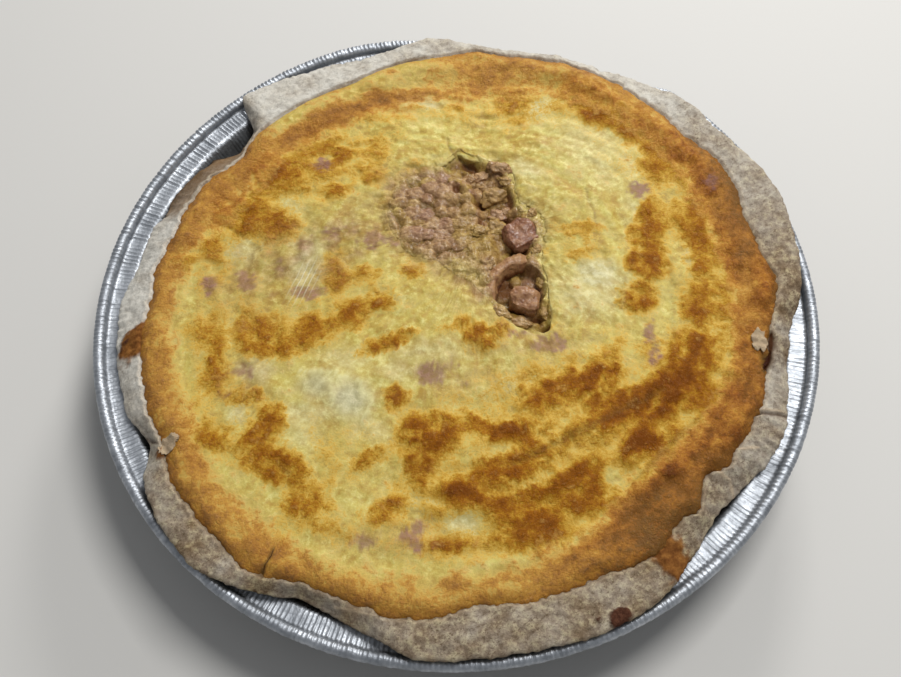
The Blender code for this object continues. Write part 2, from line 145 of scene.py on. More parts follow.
# How far out the pastry reaches, by bearing, in mm: it lies over the rim in
# places, ends in a cut flap at 130 degrees and stands clear of the wall after it
PASTRY_REACH = (
    (0, 110.5), (8, 112.3), (16, 114.4), (22, 114.5), (28, 113), (34, 111.4), (39, 112.9), (46, 111.2),
    (52, 109.3), (59, 108.4), (67, 110.4), (79, 111.8), (86, 113.4), (92, 113.4), (98, 109.4), (106, 107),
    (118, 108.8), (130, 111.6), (132.5, 98), (140, 94.6), (146, 99.4), (157, 101.5), (161, 104.6),
    (169, 104), (177, 107), (189, 107), (199, 106.7), (205.5, 102.6), (210, 108.8), (219, 112.7),
    (227, 113.9), (235, 110.3), (243, 104), (248, 104.8), (256, 108.2), (262, 113), (278, 112.3),
    (290, 113.4), (299, 112.2), (305, 108.4), (314, 104), (320, 104.9), (327, 108), (334, 108.5),
    (344, 105.2), (351, 105.2),
)
# Where the egg meets the pastry, by bearing, in mm from the tart's middle
FILLING_EDGE = (
    (0, 102.6), (6, 100.2), (14, 99.6), (22, 102.5), (29, 102.8), (36, 100.5), (45, 101.8), (54, 103.1),
    (67, 106.5), (83, 109.4), (92, 103.4), (101, 98.9), (110, 94.8), (122, 94.7), (133, 94.3),
    (141, 91.2), (149, 95.3), (164, 95.3), (171, 97), (178, 96.2), (185, 98.9), (200, 100), (207, 99.4),
    (215, 103), (224, 103.5), (234, 105.6), (243, 100.6), (253, 101.6), (260, 103), (266, 101.2),
    (272, 97.9), (280, 99.7), (292, 99), (303, 102.2), (306, 99.4), (309.5, 98), (313, 101),
    (315.5, 96.4), (318.5, 95), (322, 98.4), (329, 98.8), (336, 100.2), (342, 98.6), (352, 99.2),
)
# How floury the pastry is, by bearing, from 0 to 1
FLOURY = (
    (0, 0.12), (12, 0.3), (20, 0.5), (34, 0.5), (42, 0.72), (55, 0.82), (72, 0.74), (88, 0.55),
    (95, 0.75), (112, 0.86), (129, 0.86), (134, 0.5), (148, 0.45), (160, 0.95), (190, 1), (200, 0.72),
    (208, 0.4), (222, 0.22), (240, 0.2), (258, 0.24), (272, 0.26), (290, 0.22), (304, 0.16), (318, 0.34),
    (335, 0.5), (350, 0.28),
)
# Where the pastry stands clear at the far left, its wall leans out below the lip
SKIRT = 8 * MM
SKIRT_DROP = 2.2 * MM
# The curves are sampled every half degree, and averaged over so many samples each way
HALF_DEGREES = np.arange(720) / 2
CORNER_WINDOW = 2
EDGE_WINDOW = 3
LEAN_WINDOW = 24

# The tear: its middle, and its edge's distance from there by bearing, in mm
TEAR_MIDDLE = Vector((12.3 * MM, 25 * MM))
TEAR_REACH = (
    (0, 18.5), (15, 18), (40, 15.4), (56, 16.8), (66, 24.5), (80, 30.4), (90, 30), (97, 30.8),
    (104, 34.4), (109, 33), (114, 31), (126, 31), (144, 35), (162, 34.5), (182, 30.5), (200, 25),
    (212, 20.5), (232, 19.5), (248, 20.5), (258, 22.5), (266, 25.5), (272, 29.5), (277, 34), (287, 40.5),
    (294, 42.5), (302, 33.5), (309, 28), (321, 21), (336, 18.6),
)

# A typical radius of the tear, and of the tart's outlines, where their jags are read
TEAR_TYPICAL = 30 * MM
OUTLINE_TYPICAL = 105 * MM

# Egg and cheese layer
SKIN_UNDER = CASE_INNER_HEIGHT + GAP
SKIN_LEVEL = 33.6 * MM
PUFF_HEIGHT = 2.1 * MM
PUFF_MIDDLE = 5.5 * MM
PUFF_WIDTH = 5 * MM
EDGE_DIP = 0.8 * MM
EDGE_DIP_WIDTH = 3 * MM
SKIN_SPOKES = 1080
SKIN_RINGS = 80
# Rings close to the tear by their distance from it, and how far rings at the
# layer's edges are let down: the first at the tear, the last two at the pastry
NEAR_TEAR = (0, 0.35 * MM, 0.8 * MM)
EDGE_DROPS = {0: 0.2 * MM, -1: 1.3 * MM, -2: 0.35 * MM}
# Under the tear's edge the layer folds back to its underside
FOLD_DROP = 0.9 * MM
FOLD_BACK = 0.25 * MM
UNDER_BACK = 0.5 * MM
# Swellings and hollows of the baked top: x, y, spread and height, in mm
SWELLS = (
    (43, 27, 17, 1.5), (33, 48, 14, 0.8), (-5, -8, 15, 0.7), (-36, -31, 9, 0.9), (36, -52, 15, 1),
    (62, -28, 13, 0.9), (5, -60, 16, 0.6), (-48, 42, 15, 0.6), (-58, 4, 15, -0.7), (-20, -58, 12, -0.7),
    (60, 22, 10, -0.6), (8, -32, 11, -0.6),
)
RELIEF_SIZE = 11 * MM
RELIEF_HEIGHT = 0.6 * MM
KNOLL_SIZE = 4 * MM
KNOLL_LENGTH = 12 * MM
KNOLL_HEIGHT = 0.5 * MM
# Soft ridges that run round the tart, strongest at the near right, and the
# ovals in mm where they show
RIDGE_WIDTH = 5.5 * MM
RIDGE_LENGTH = 24 * MM
RIDGE_HEIGHT = 1.1 * MM
RIDGED = (
    (30, -56, 46, 24, 24, 1), (68, -22, 22, 16, 60, 0.8), (66, 30, 22, 14, -65, 0.3),
    (-8, 84, 44, 9, 4, 0.8), (-60, -10, 26, 16, 80, 0.3), (-10, -66, 24, 12, 0, 0.4),
)

# Ham filling that shows in the tear
PLUG_SPOKES = 900
PLUG_RINGS = 96
CHANNEL_BED = 2.6 * MM
CHANNEL_WIDTH = 7 * MM
CHANNEL_DEPTH = 4.5 * MM
SHALLOW_DEPTH = 1.5 * MM
# The stretch of the tear, by bearing from its middle, where the filling rises
# level with the top; elsewhere the top ends in a lip
FLUSH_STRETCH = (108, 136, 258, 286)
LUMP_SPACING = 4.4 * MM
LUMP_HEIGHT = 1.5 * MM
# Egg veils the filling where the two lie level, from the first distance outside
# the tear's edge to the second
VEIL_START = -6 * MM
VEIL_END = 11 * MM
LEVEL_FADE = 9 * MM
SWELL_CALMED = 0.8
GRAIN_SPACING = 1.3 * MM
GRAIN_HEIGHT = 0.26 * MM
# The deep channel of the tear, x and y in mm
CHANNEL = ((0.5, 62), (3, 54), (10, 47), (14, 39), (16, 30), (19, 17), (19, 6), (22, -3), (28, -11))

# Ham pieces in the tear, and the pockets of the filling that they lie in: x, y and radius
SLAB_PLACE = Vector((23.2, 23.8, 30.8)) * MM
SLAB_SIZE = Vector((9.4, 10.6, 6)) * MM
SLAB_TURN = 24
CURL_PLACE = Vector((22, 3.4, 30.3)) * MM
CURL_RADIUS = 9.4 * MM
CURL_WIDTH = 5.6 * MM
CURL_THICKNESS = 3 * MM
CURL_START = 70
CURL_TURN = 136
CURL_STEPS = 110
CURL_ROWS = 26
CHUNK_PLACE = Vector((22.6, -1.2, 31)) * MM
CHUNK_SIZE = Vector((9.4, 8.8, 6.4)) * MM
CHUNK_TURN = -15
BLOCK_CUTS = 31
BLOCK_ROUNDNESS = 0.56
BLOCK_PULL = 0.12
BLOCK_BALL = 0.62
SLAB_POCKET = (SLAB_PLACE.x, SLAB_PLACE.y, 5 * MM)
CURL_POCKET = (21 * MM, 3 * MM, 9 * MM)
POCKET_FLOOR = 27 * MM
POCKET_RIM = 1.8 * MM
# The top's lip at the tear, rolled down over a width, and the bank of egg from
# there into the tear: its drop at the lip and its slope
LIP_STEP = 0.15 * MM
LIP_ROLL = 0.9 * MM
LIP_ROLL_WIDTH = 2.2 * MM
BANK_SLOPE = 0.95
# Lumps that lie free in the channel: x, y, half length, width and height in
# mm, turn in degrees, and how much of each is ham rather than curd
LUMPS = (
    (12, 48, 3, 2.2, 1.6, 20, 0.8), (17.6, 49.4, 4, 2.6, 1.8, -15, 0.7),
    (7.8, 47.2, 2.4, 1.6, 1.5, 55, 0.7), (13.4, 44, 3, 2, 1.6, 10, 0.6),
    (19, 44.6, 2.6, 1.8, 1.4, -30, 0.3), (14.8, 39.4, 4.2, 3.4, 2.6, 5, 0.35),
    (15.6, 32.6, 3, 2.2, 1.6, -15, 1), (14.9, 27.4, 3.4, 3, 2.2, 20, 0.15),
    (18.8, 33.4, 1.8, 1.5, 1.2, 0, 0.9), (9.2, 24.6, 3, 2.2, 1.4, 0, 0.1),
    (27.6, 16.6, 1.8, 1.4, 1.2, 70, 0.3), (14.6, -5.6, 3.4, 2, 1.3, -40, 0.2),
    (20.6, -9.2, 3.4, 1.9, 1.3, -14, 0.5), (12.6, 12.6, 2.6, 1.9, 1.3, 60, 0.4),
    (28.6, 5.8, 1.7, 2.4, 1.2, 10, 0.1), (27, 30.2, 1.8, 1.4, 1.2, 70, 0.4),
    (28.6, -5.4, 1.6, 2.4, 1.2, 10, 0.2),
)
CURD_RISE = 0.9 * MM
SHELF_RISE = 1.6 * MM
HOLLOW_DEPTH = 2.6 * MM
# In the tear: bubbly curd, shelves of smooth egg beside the channel, and hollows
# under the lip, as ovals in mm
CURDS = (
    (9.6, 20.6, 7, 4.6, -38, 1), (5, 30, 5, 3, 60, 0.4), (4, 9, 6, 3.4, -35, 0.5),
    (-13, 20, 3, 2, 0, 0.5),
)
SHELVES = (
    (26, 35.5, 4.6, 3.4, -40, 1), (4, 9, 7, 4.4, -35, 0.8), (11, -3, 5, 3, -50, 0.7),
    (29, 14, 3, 6, 10, 0.6),
)
HOLLOWS = (
    (16.6, 55.8, 3.4, 1.5, -8, 1), (10.2, 36.6, 1.8, 1.6, 20, 1), (19.9, 37, 1.2, 3, 10, 1),
    (7.6, 52.6, 3, 1.4, -35, 1), (22.3, 17, 3, 1.6, 0, 1), (29.4, -12, 2.2, 1.1, 0, 1),
    (10.2, 28.3, 1, 1.8, 0, 1), (2.6, 42.4, 0.9, 1.4, 0, 1), (18.6, 29.6, 1.6, 1, -30, 0.9),
    (16.6, 4.6, 2.6, 3.6, -20, 1), (25.6, -7.6, 1.6, 0.9, 0, 0.9),
)

# Fine relief in layers, each with its height and the size of its hills in mm, its
# octaves and its seed
BAND_UNEVEN = ((0.5, 7, 3, 1), (0.22, 2.2, 3, 2))
WALL_UNEVEN = ((0.3, 5, 3, 4),)
REACH_UNEVEN = ((0.5, 6, 3, 0), (0.2, 1.5, 2, 0))
BORDER_TEETH = ((1, 5, 3, 3), (0.55, 1.6, 2, 9))
RING_UNEVEN = ((2.4, 7, 3, 17),)
TEAR_JAGS = ((0.9, 5, 3, 41), (0.35, 1.4, 2, 42))
LIP_UNEVEN = ((0.7, 4, 2, 43),)
CHANNEL_UNEVEN = ((1.2, 5, 2, 71),)
VEIL_UNEVEN = ((4, 6, 3, 81), (1.4, 2, 2, 82))
EGG_UNEVEN = ((2, 4, 3, 83),)
BANK_UNEVEN = ((1.6, 3.4, 3, 85),)
# How far marks wander from their places: reach and size of the swings in mm,
# octaves, and the seeds for x and y
BROAD_WANDER = (2, 8, 3, (11, 13))
FINE_WANDER = (1.5, 2.4, 3, (12, 14))
HAM_WANDER = (1.2, 3.4, 3, (21, 22))
MILKY_AND_HIGHLIGHT_WANDER = (2, 6, 2, (31, 32))
MINCE_WANDER = (0.7, 3, 2, (51, 52))

# Browned blisters of the top, as ovals in the photo's pixels, from left to right
# and from far to near as far as they go
BROWNED = (
    (277, 173, 19, 14, 20, 0.9), (342, 154, 8, 8, 0, 0.7), (370, 175, 14, 11, 0, 0.55),
    (337, 191, 11, 7, 0, 0.75), (277, 224, 22, 14, -10, 0.85), (244, 233, 8, 8, 0, 0.7),
    (214, 250, 10, 11, 0, 0.85), (181, 261, 11, 8, 20, 0.7), (267, 252, 8, 5, 0, 0.35),
    (337, 270, 14, 17, 0, 0.75), (367, 273, 10, 8, 0, 0.6), (414, 270, 11, 8, -20, 0.6),
    (407, 245, 9, 8, 0, 0.6), (380, 301, 13, 9, 0, 0.55), (353, 315, 12, 14, 30, 0.85),
    (311, 328, 21, 13, 0, 0.85), (257, 326, 18, 17, 0, 0.8), (204, 326, 13, 13, 0, 0.55),
    (272, 346, 26, 9, -5, 0.8), (213, 368, 12, 28, -5, 0.7), (244, 395, 15, 9, 0, 0.7),
    (269, 422, 13, 17, -35, 0.95), (250, 437, 11, 6, 30, 0.8), (209, 437, 17, 13, -20, 0.8),
    (279, 467, 31, 13, -20, 0.95), (303, 503, 22, 9, 0, 0.75), (395, 395, 10, 9, 0, 0.85),
    (428, 436, 26, 20, 0, 0.95), (370, 457, 15, 8, 15, 0.7), (417, 470, 12, 15, 0, 0.85),
    (386, 511, 18, 10, 30, 0.95), (388, 342, 28, 6, 22, 0.65), (446, 542, 19, 10, 0, 0.85),
    (286, 530, 22, 12, 0, 0.45), (332, 532, 20, 9, -30, 0.5), (515, 85, 16, 12, 0, 0.75),
    (455, 93, 13, 5, 5, 0.55), (517, 113, 15, 7, 0, 0.4), (589, 97, 26, 12, -32, 0.95),
    (604, 112, 18, 11, -25, 1), (640, 129, 28, 12, -36, 1), (672, 150, 24, 12, -40, 0.8),
    (651, 169, 13, 11, 0, 0.7), (678, 171, 18, 13, -20, 0.5), (656, 226, 19, 26, -10, 1),
    (664, 209, 10, 10, 0, 0.7), (699, 212, 8, 30, -5, 1), (685, 228, 13, 15, 0, 0.7),
    (649, 266, 20, 9, -5, 1), (639, 297, 18, 14, 0, 0.85), (714, 280, 27, 34, 0, 0.5),
    (691, 305, 14, 14, 0, 0.5), (716, 251, 11, 13, 0, 0.6), (684, 372, 21, 12, 15, 0.85),
    (700, 346, 14, 11, 0, 0.6), (589, 377, 28, 8, 6, 0.6), (614, 371, 11, 5, 0, 0.6),
    (540, 402, 24, 9, 5, 0.6), (639, 402, 45, 15, 15, 0.95), (601, 411, 15, 9, 20, 0.8),
    (497, 430, 27, 8, -12, 0.9), (530, 440, 18, 8, 0, 0.5), (649, 440, 20, 10, 30, 0.85),
    (504, 467, 38, 10, 14, 0.9), (465, 494, 17, 12, 0, 0.85), (547, 499, 42, 18, 12, 0.95),
    (580, 479, 17, 14, 0, 0.9), (594, 500, 18, 13, 0, 0.85), (520, 527, 25, 14, 10, 0.9),
    (552, 535, 24, 9, 15, 0.8), (672, 462, 22, 14, 35, 0.7), (721, 434, 22, 14, 30, 0.55),
    (760, 320, 9, 20, 0, 0.3), (701, 400, 20, 16, 0, 0.45), (735, 395, 18, 18, 0, 0.4),
    (762, 282, 10, 22, 0, 0.6), (485, 340, 12, 14, 0, 0.6), (414, 163, 17, 9, 15, 0.4),
    (378, 151, 11, 7, 0, 0.4), (381, 301, 9, 10, 0, 0.6), (470, 331, 18, 10, -20, 0.65),
    (400, 337, 18, 5, 15, 0.6), (503, 328, 10, 8, 0, 0.5), (579, 229, 26, 8, -8, 0.5),
    (577, 256, 12, 7, 20, 0.5), (318, 148, 16, 6, 15, 0.5), (300, 190, 14, 6, 20, 0.5),
    (250, 205, 12, 10, 30, 0.6), (226, 215, 12, 12, 30, 0.6), (440, 330, 10, 6, 0, 0.3),
    (560, 385, 20, 7, 0, 0.5), (610, 330, 10, 5, 0, 0.25),
)
# Where the browning is deepest, and wide warm stretches between the blisters, as
# ovals in mm
DEEPEST = (
    (38, -46, 44, 24, 24, 0.9), (74, -24, 20, 14, 60, 0.6), (-36, -46, 14, 10, -30, 0.4),
    (-8, -32, 12, 10, 0, 0.3),
)
WARM = (
    (84, -12, 34, 13, 84, 0.5), (78, 24, 20, 10, 80, 0.5), (52, -46, 38, 19, 22, 0.72),
    (12, -70, 34, 12, 8, 0.62), (-76, -10, 32, 11, 85, 0.34), (-62, 38, 26, 11, 45, 0.5),
    (-52, -52, 22, 12, -28, 0.34), (24, 80, 34, 9, -8, 0.38), (-48, -4, 20, 13, 0, 0.26),
    (66, 50, 20, 10, -45, 0.26), (-24, 6, 20, 10, 0, 0.2), (-10, -50, 20, 14, 0, 0.14),
    (-38, 64, 26, 9, 28, 0.5), (34, -30, 26, 8, 12, 0.4), (20, -12, 16, 5, -10, 0.3),
    (38, 19, 16, 6, -15, 0.28), (-40, 50, 20, 9, 20, 0.46), (6, -40, 18, 8, 0, 0.2),
)
# Yellow gaps between the browned places, as ovals in pixels
GAPS = (
    (666, 196, 9, 14, 0, 0.7), (674, 246, 9, 20, 0, 0.85), (679, 272, 9, 16, 0, 0.8),
    (664, 306, 10, 16, 0, 0.7), (721, 275, 6, 8, 0, 0.5), (723, 199, 9, 15, 0, 0.5),
    (746, 286, 8, 22, 0, 0.45), (594, 447, 9, 7, -30, 0.4), (613, 474, 9, 14, 10, 0.95),
    (634, 502, 10, 7, 0, 0.7), (527, 482, 16, 5, 20, 0.75), (462, 522, 15, 11, 0, 0.85),
    (520, 516, 6, 4, 0, 0.6), (524, 564, 40, 6, 8, 0.95), (570, 541, 18, 4, 20, 0.7),
    (580, 413, 9, 6, 0, 0.6), (536, 463, 12, 3, 20, 0.5), (637, 366, 12, 16, 0, 0.8),
    (497, 447, 14, 4, 10, 0.5), (660, 428, 12, 3, 25, 0.5), (244, 184, 11, 9, 0, 0.7),
    (298, 203, 15, 9, 0, 0.8), (188, 236, 8, 5, 0, 0.6), (246, 250, 17, 10, 0, 0.8),
    (226, 405, 10, 8, 0, 0.7), (300, 440, 14, 20, 0, 0.7), (306, 540, 12, 6, 10, 0.6),
    (350, 500, 14, 10, 0, 0.7),
)
# The toasted ring: how far out it starts, in mm, and how dark it is, by bearing
RING_INNER = (
    (7, 87), (24, 88), (39, 89), (50, 88), (63, 89), (88.5, 84), (101, 80), (117, 77), (130, 79),
    (153, 79), (165, 85), (178, 88), (192, 89), (206.5, 88), (219.5, 91), (235, 91), (247.5, 92),
    (264, 90), (280, 87), (296, 86), (309, 82), (326, 85), (345, 88),
)
RING_TONES = (
    (0, 0.72), (12, 0.86), (26, 0.8), (45, 0.46), (62, 0.44), (80, 0.45), (92, 0.58), (105, 0.8),
    (125, 0.64), (150, 0.58), (165, 0.54), (185, 0.54), (205, 0.52), (225, 0.5), (238, 0.52), (250, 0.46),
    (275, 0.44), (290, 0.6), (303, 1), (320, 0.84), (340, 0.72),
)
RING_FADE = 5 * MM
# Radii between which the strip that stays plain at the far side begins
PLAIN_RADII = (85 * MM, 90 * MM)
# Egg that ran over the pastry, and burnt bits on it, as ovals in mm
SPILLS = (
    (57, -86, 8.4, 4.2, -57, 1), (-99.6, -10.4, 6.4, 4, 50, 1), (-88, -48, 2.6, 1.6, 60, 0.8),
)
BURNT = (
    (40.6, -103.4, 2.4, 1.7, 80, 1), (42.6, -102.6, 1.9, 1.6, 20, 1), (-103.4, -11, 2.6, 0.9, 60, 0.6),
    (35.6, -103.4, 0.7, 0.6, 0, 0.8),
)
# Ham that shows through the top, as ovals in pixels
HAM_BENEATH = (
    (208, 286, 6, 9, 0, 1), (245, 280, 11, 8, -40, 0.9), (278, 265, 9, 7, 0, 0.5),
    (308, 291, 16, 6, 0, 0.8), (304, 243, 9, 9, 0, 0.5), (330, 234, 12, 7, 0, 0.6),
    (374, 240, 13, 8, 0, 0.75), (323, 165, 9, 7, 0, 0.8), (244, 370, 14, 10, 0, 0.55),
    (430, 374, 12, 11, 0, 0.9), (453, 365, 9, 8, 0, 0.4), (365, 540, 13, 6, 0, 0.7),
    (410, 535, 13, 6, 20, 0.9), (415, 547, 8, 5, 0, 0.8), (420, 523, 10, 4, 15, 0.6),
    (554, 343, 14, 8, 0, 0.8), (649, 332, 4, 9, -15, 1), (656, 352, 7, 12, -10, 0.6),
    (639, 190, 11, 8, 0, 0.8), (711, 184, 6, 8, 0, 0.6), (540, 345, 10, 6, 0, 0.5),
    (225, 395, 9, 8, 0, 0.4), (350, 225, 9, 7, 0, 0.4), (398, 238, 9, 7, 0, 0.5),
    (460, 383, 10, 6, 0, 0.4), (590, 340, 12, 4, 0, 0.3), (318, 205, 7, 8, 0, 0.3),
    (519, 331, 16, 6, 0, 0.5),
)
# Where the filling dulls the top from below, as ovals in mm
MEATY = (
    (-56, 13, 20, 11, 20, 0.8), (-30, 27, 16, 8, 20, 0.9), (-14, 40, 10, 8, 40, 0.7),
    (-2, -26, 14, 7, 0, 0.5), (26, -18, 9, 4, 0, 0.7), (-64, -24, 6, 5, 0, 0.5), (26, 30, 8, 9, 0, 0.5),
    (-20, -78, 14, 4, 0, 0.4),
)
# Milky, translucent places of the top, and painted highlights on it, as ovals in pixels
MILKY_AND_HIGHLIGHTS = (
    (306, 262, 12, 20, -15, 0.8), (237, 411, 9, 8, 0, 0.6), (599, 272, 15, 9, 0, 0.9),
    (540, 101, 15, 9, 0, 0.8), (421, 94, 16, 6, 12, 0.7), (600, 150, 40, 26, -30, 0.35),
    (590, 290, 28, 20, 10, 0.5), (300, 430, 18, 14, 0, 0.4), (300, 412, 25, 8, 0, 0.4),
    (395, 370, 18, 8, 0, 0.4), (520, 380, 30, 10, 20, 0.35), (250, 190, 7, 10, 0, 0.5),
    (290, 205, 12, 7, 0, 0.5), (330, 190, 5, 5, 0, 0.3), (420, 500, 30, 10, 0, 0.3),
    (370, 430, 14, 9, 0, 0.4), (462, 522, 13, 10, 0, 0.6), (519, 517, 6, 4, 0, 0.7),
    (500, 500, 16, 5, 20, 0.3), (640, 225, 8, 16, 0, 0.2), (660, 165, 5, 9, 0, 0.3),
    (691, 256, 6, 9, 0, 0.5), (720, 330, 8, 12, 0, 0.3), (345, 360, 20, 9, 0, 0.4),
    (200, 345, 8, 6, 0, 0.3), (230, 330, 6, 10, 0, 0.3), (240, 250, 18, 10, 10, 0.5),
    (255, 368, 14, 12, 0, 0.5), (390, 300, 14, 6, 0, 0.2), (430, 350, 25, 8, 0, 0.35),
    (640, 205, 14, 6, 0, 0.3), (526, 166, 14, 8, -30, 0.5),
)

# A grey blister of two cells and a patch of fine white wrinkles, as ovals in mm
BLISTER = ((-42.6, -28.6, 4.2, 3.8, 0, 0.8), (-32.6, -33.8, 5.4, 5, -20, 1))
WRINKLES = ((-47.6, 8.4, 6, 2.8, 67, 0.75),)
WRINKLE_SPACING = 1.7 * MM
WRINKLE_TURN = 67
# Thin pale ridges and dark creases of the top, and dark and pale cracks of the
# pastry: x and y of both ends and half width, in mm, and strength. The darkness
# of the creases and of the dark cracks is painted shade.
PALE_RIDGES = (
    (-47.9, -23.5, -39.3, -24.6, 1, 1), (-39.3, -24.6, -30.1, -28.2, 1.1, 1),
    (-30.1, -28.2, -26.4, -36, 1.1, 1), (-38.4, -27, -37.4, -36, 0.9, 0.9),
    (-26.4, -36, -29, -41, 0.9, 0.8), (12, 74, 38, 68, 1, 0.22), (38, 68, 54, 57, 1, 0.2),
    (24, 47.4, 32.4, 45, 0.8, 0.4), (32.4, 45, 35, 38.4, 0.8, 0.25), (52, -8, 56, 6, 0.8, 0.25),
    (24.9, 41.7, 28.8, 39.6, 0.7, 0.5),
)
CREASES = (
    (-53.6, -79.4, -59.4, -90.3, 0.55, 1.6), (1, 66, 0.6, 62.4, 0.9, 0.35),
    (0.6, 62.4, 2.6, 58.4, 0.9, 0.7), (2.6, 58.4, 6.4, 55, 1.2, 0.8), (-64, 22, -66, 6, 0.5, 0.5),
    (-56, 26, -57, 8, 0.4, 0.4), (-72, 30, -62, 21, 0.6, 0.5), (-66, -26, -62, -37, 0.5, 0.7),
    (-70, -30, -64, -34, 0.5, 0.6), (45, 39, 48, 23, 0.5, 0.6), (97.4, -18, 96, -24.6, 1.5, 1.5),
    (96, -24.6, 93, -30.6, 1.8, 1.5), (70, 12, 67, -20, 0.7, 0.4), (60, 14, 50, -6, 0.6, 0.3),
    (46, 38, 40, 22, 0.6, 0.2), (14, -58, 46, -44, 1, 0.5), (30, -50, 62, -36, 1, 0.5),
    (48, -66, 72, -44, 1, 0.45), (-56, -50, -50, -58, 0.4, 0.4), (-30, 27, -31, 17, 0.4, 0.5),
    (-24, 28, -25, 18, 0.4, 0.5), (-36, 28, -37, 17, 0.4, 0.5),
)
DARK_CRACKS = (
    (-99, -40, -89.6, -45.4, 0.5, 0.9), (77.6, -65, 83, -68.6, 0.5, 0.6),
    (87, -44.6, 98, -44.8, 0.6, 0.8), (71, -60.4, 72.4, -66.4, 0.5, 0.7),
    (-59.4, -90.3, -62, -94, 0.5, 0.9), (-24.6, -100, -23.6, -96.4, 0.6, 0.7),
    (97.4, -18, 96, -24.6, 1.5, 1.3), (96, -24.6, 93, -30.6, 1.8, 1.3),
)
PALE_CRACKS = (
    (71.3, -60, 77.5, -64.6, 0.6, 0.9), (77.5, -64.6, 78.6, -70, 0.6, 0.8),
    (81, -55.6, 87.4, -55.2, 0.6, 0.8), (87.2, -43.4, 98, -43.6, 0.5, 0.7),
    (-37, -96.4, -26, -99.6, 0.5, 0.7),
)
# Chips of pastry on the top: x, y, half length and half width in mm, turn in
# degrees and lift in mm
CHIP_SPOKES = 48
CHIP_SHARES = (0.35, 0.7, 0.9, 1)
CHIP_THICKNESS = 0.7 * MM
CHIPS = (
    (92.8, -21.2, 3.8, 2.5, 78, 0.8), (-86.8, -46.6, 3, 2.4, 40, 0.7), (-84.6, -44.6, 1.8, 1.3, -20, 0.6),
)

# Lights, each with its place and size in metres, power in watts and colour, and
# the room's own light
LIGHT_AIM = Vector((0, 0, 30)) * MM
LIGHTS = {
    "overhead": ((0.3, 0.26, 0.94), 0.36, 7.2, (1, 0.985, 0.96)),
    "far": ((0.3, 1, 0.5), 0.24, 6.4, (1, 0.98, 0.95)),
}
ROOM_COLOUR = (0.95, 0.97, 1, 1)
ROOM_STRENGTH = 0.26
FLOOR_HALF_WIDTH = 2

# Curves, noise, marks and meshes


def blend(start, end, value):
    """0 before start, 1 after end, and smooth between them."""
    share = np.clip((value - start) / (end - start), 0, 1)
    return share * share * (3 - 2 * share)


def within(stretch, value):
    """1 inside a stretch and 0 outside it, with soft ends."""
    start, full, fading, end = stretch
    return blend(start, full, value) * (1 - blend(fading, end, value))


def bell(value, middle, width):
    """1 at a middle, and falling smoothly to 0 on both sides of it."""
    return np.exp(-(((value - middle) / width) ** 2))


def turned(x, y, degrees):
    """Places turned about the origin."""
    c, s = math.cos(math.radians(degrees)), math.sin(math.radians(degrees))
    return x * c - y * s, x * s + y * c


def evenly(count):
    """As many bearings, evenly spread over a full turn."""
    return np.arange(count) * 360 / count


def rounded(samples, window):
    """Half-degree samples of a closed curve, averaged over a window of as many samples each way."""
    spread = np.arange(-window, window + 1)
    weights = np.cos(spread / (window + 1) * math.pi / 2) ** 2
    return sum(w * np.roll(samples, s) for s, w in zip(spread, weights)) / weights.sum()


def read_table(stations, degrees):
    """The value at each bearing, straight between stations of bearing and value."""
    return np.interp(degrees, *np.array(stations, float).T, period=360)


def closed_curve(stations):
    """Half-degree samples of a closed curve through stations in mm, with rounded corners."""
    return rounded(read_table(stations, HALF_DEGREES), CORNER_WINDOW) * MM


def read_curve(curve, degrees):
    """The value of a closed curve at angles in degrees."""
    return np.interp(np.asarray(degrees) % 360, HALF_DEGREES, curve, period=360)


def relief(x, y, size, octaves=3, shift=0.0):
    """Smooth random relief, within about 1 of zero, with hills of a size."""
    points = zip(x / size, y / size)
    return np.array([noise.fractal(Vector((a, b, shift)), 0.9, 2.0, octaves) for a, b in points])


def layered(x, y, layers):
    """Relief in metres, summed from layers."""
    total = np.zeros(len(x))
    for height, size, octaves, seed in layers:
        total += height * MM * relief(x, y, size * MM, octaves, seed)
    return total


def round_layered(degrees, layers):
    """Relief in metres along the tart's outline, summed from layers."""
    x, y, _ = ring(degrees, OUTLINE_TYPICAL, 0).T
    return layered(x, y, layers)


def round_relief(degrees, size, octaves=2, shift=0.0):
    """Random relief along the tart's outline, within about 1 of zero, with hills of a length."""
    x, y, _ = ring(degrees, OUTLINE_TYPICAL, 0).T
    return relief(x, y, size, octaves, shift)


def wandered(x, y, *kinds):
    """Places after random moves along x and y, one for each kind of wandering."""
    moved = [x, y]
    for reach, size, octaves, seeds in kinds:
        for axis, seed in enumerate(seeds):
            moved[axis] = moved[axis] + reach * MM * relief(x, y, size * MM, octaves, seed)
    return moved


def spots(x, y, table, softness=1.0, unit=MM):
    """How strongly soft-edged ovals cover each point."""
    bare = np.ones(len(x))
    for spot_x, spot_y, length, width, turn, strength in table:
        along, across = turned(x / unit - spot_x, y / unit - spot_y, -turn)
        away = np.hypot(along / length, across / width)
        bare = bare * (1 - strength * np.exp(-0.45 * (away / softness) ** 3))
    return 1 - bare


def camera_axes():
    """The camera's right, up and back, rolled as the photo is."""
    back = (CAMERA_PLACE - CAMERA_AIM).normalized()
    right = Vector((0, 0, 1)).cross(back).normalized()
    up = back.cross(right)
    roll = math.radians(CAMERA_ROLL)
    c, s = math.cos(roll), math.sin(roll)
    return c * right - s * up, s * right + c * up, back


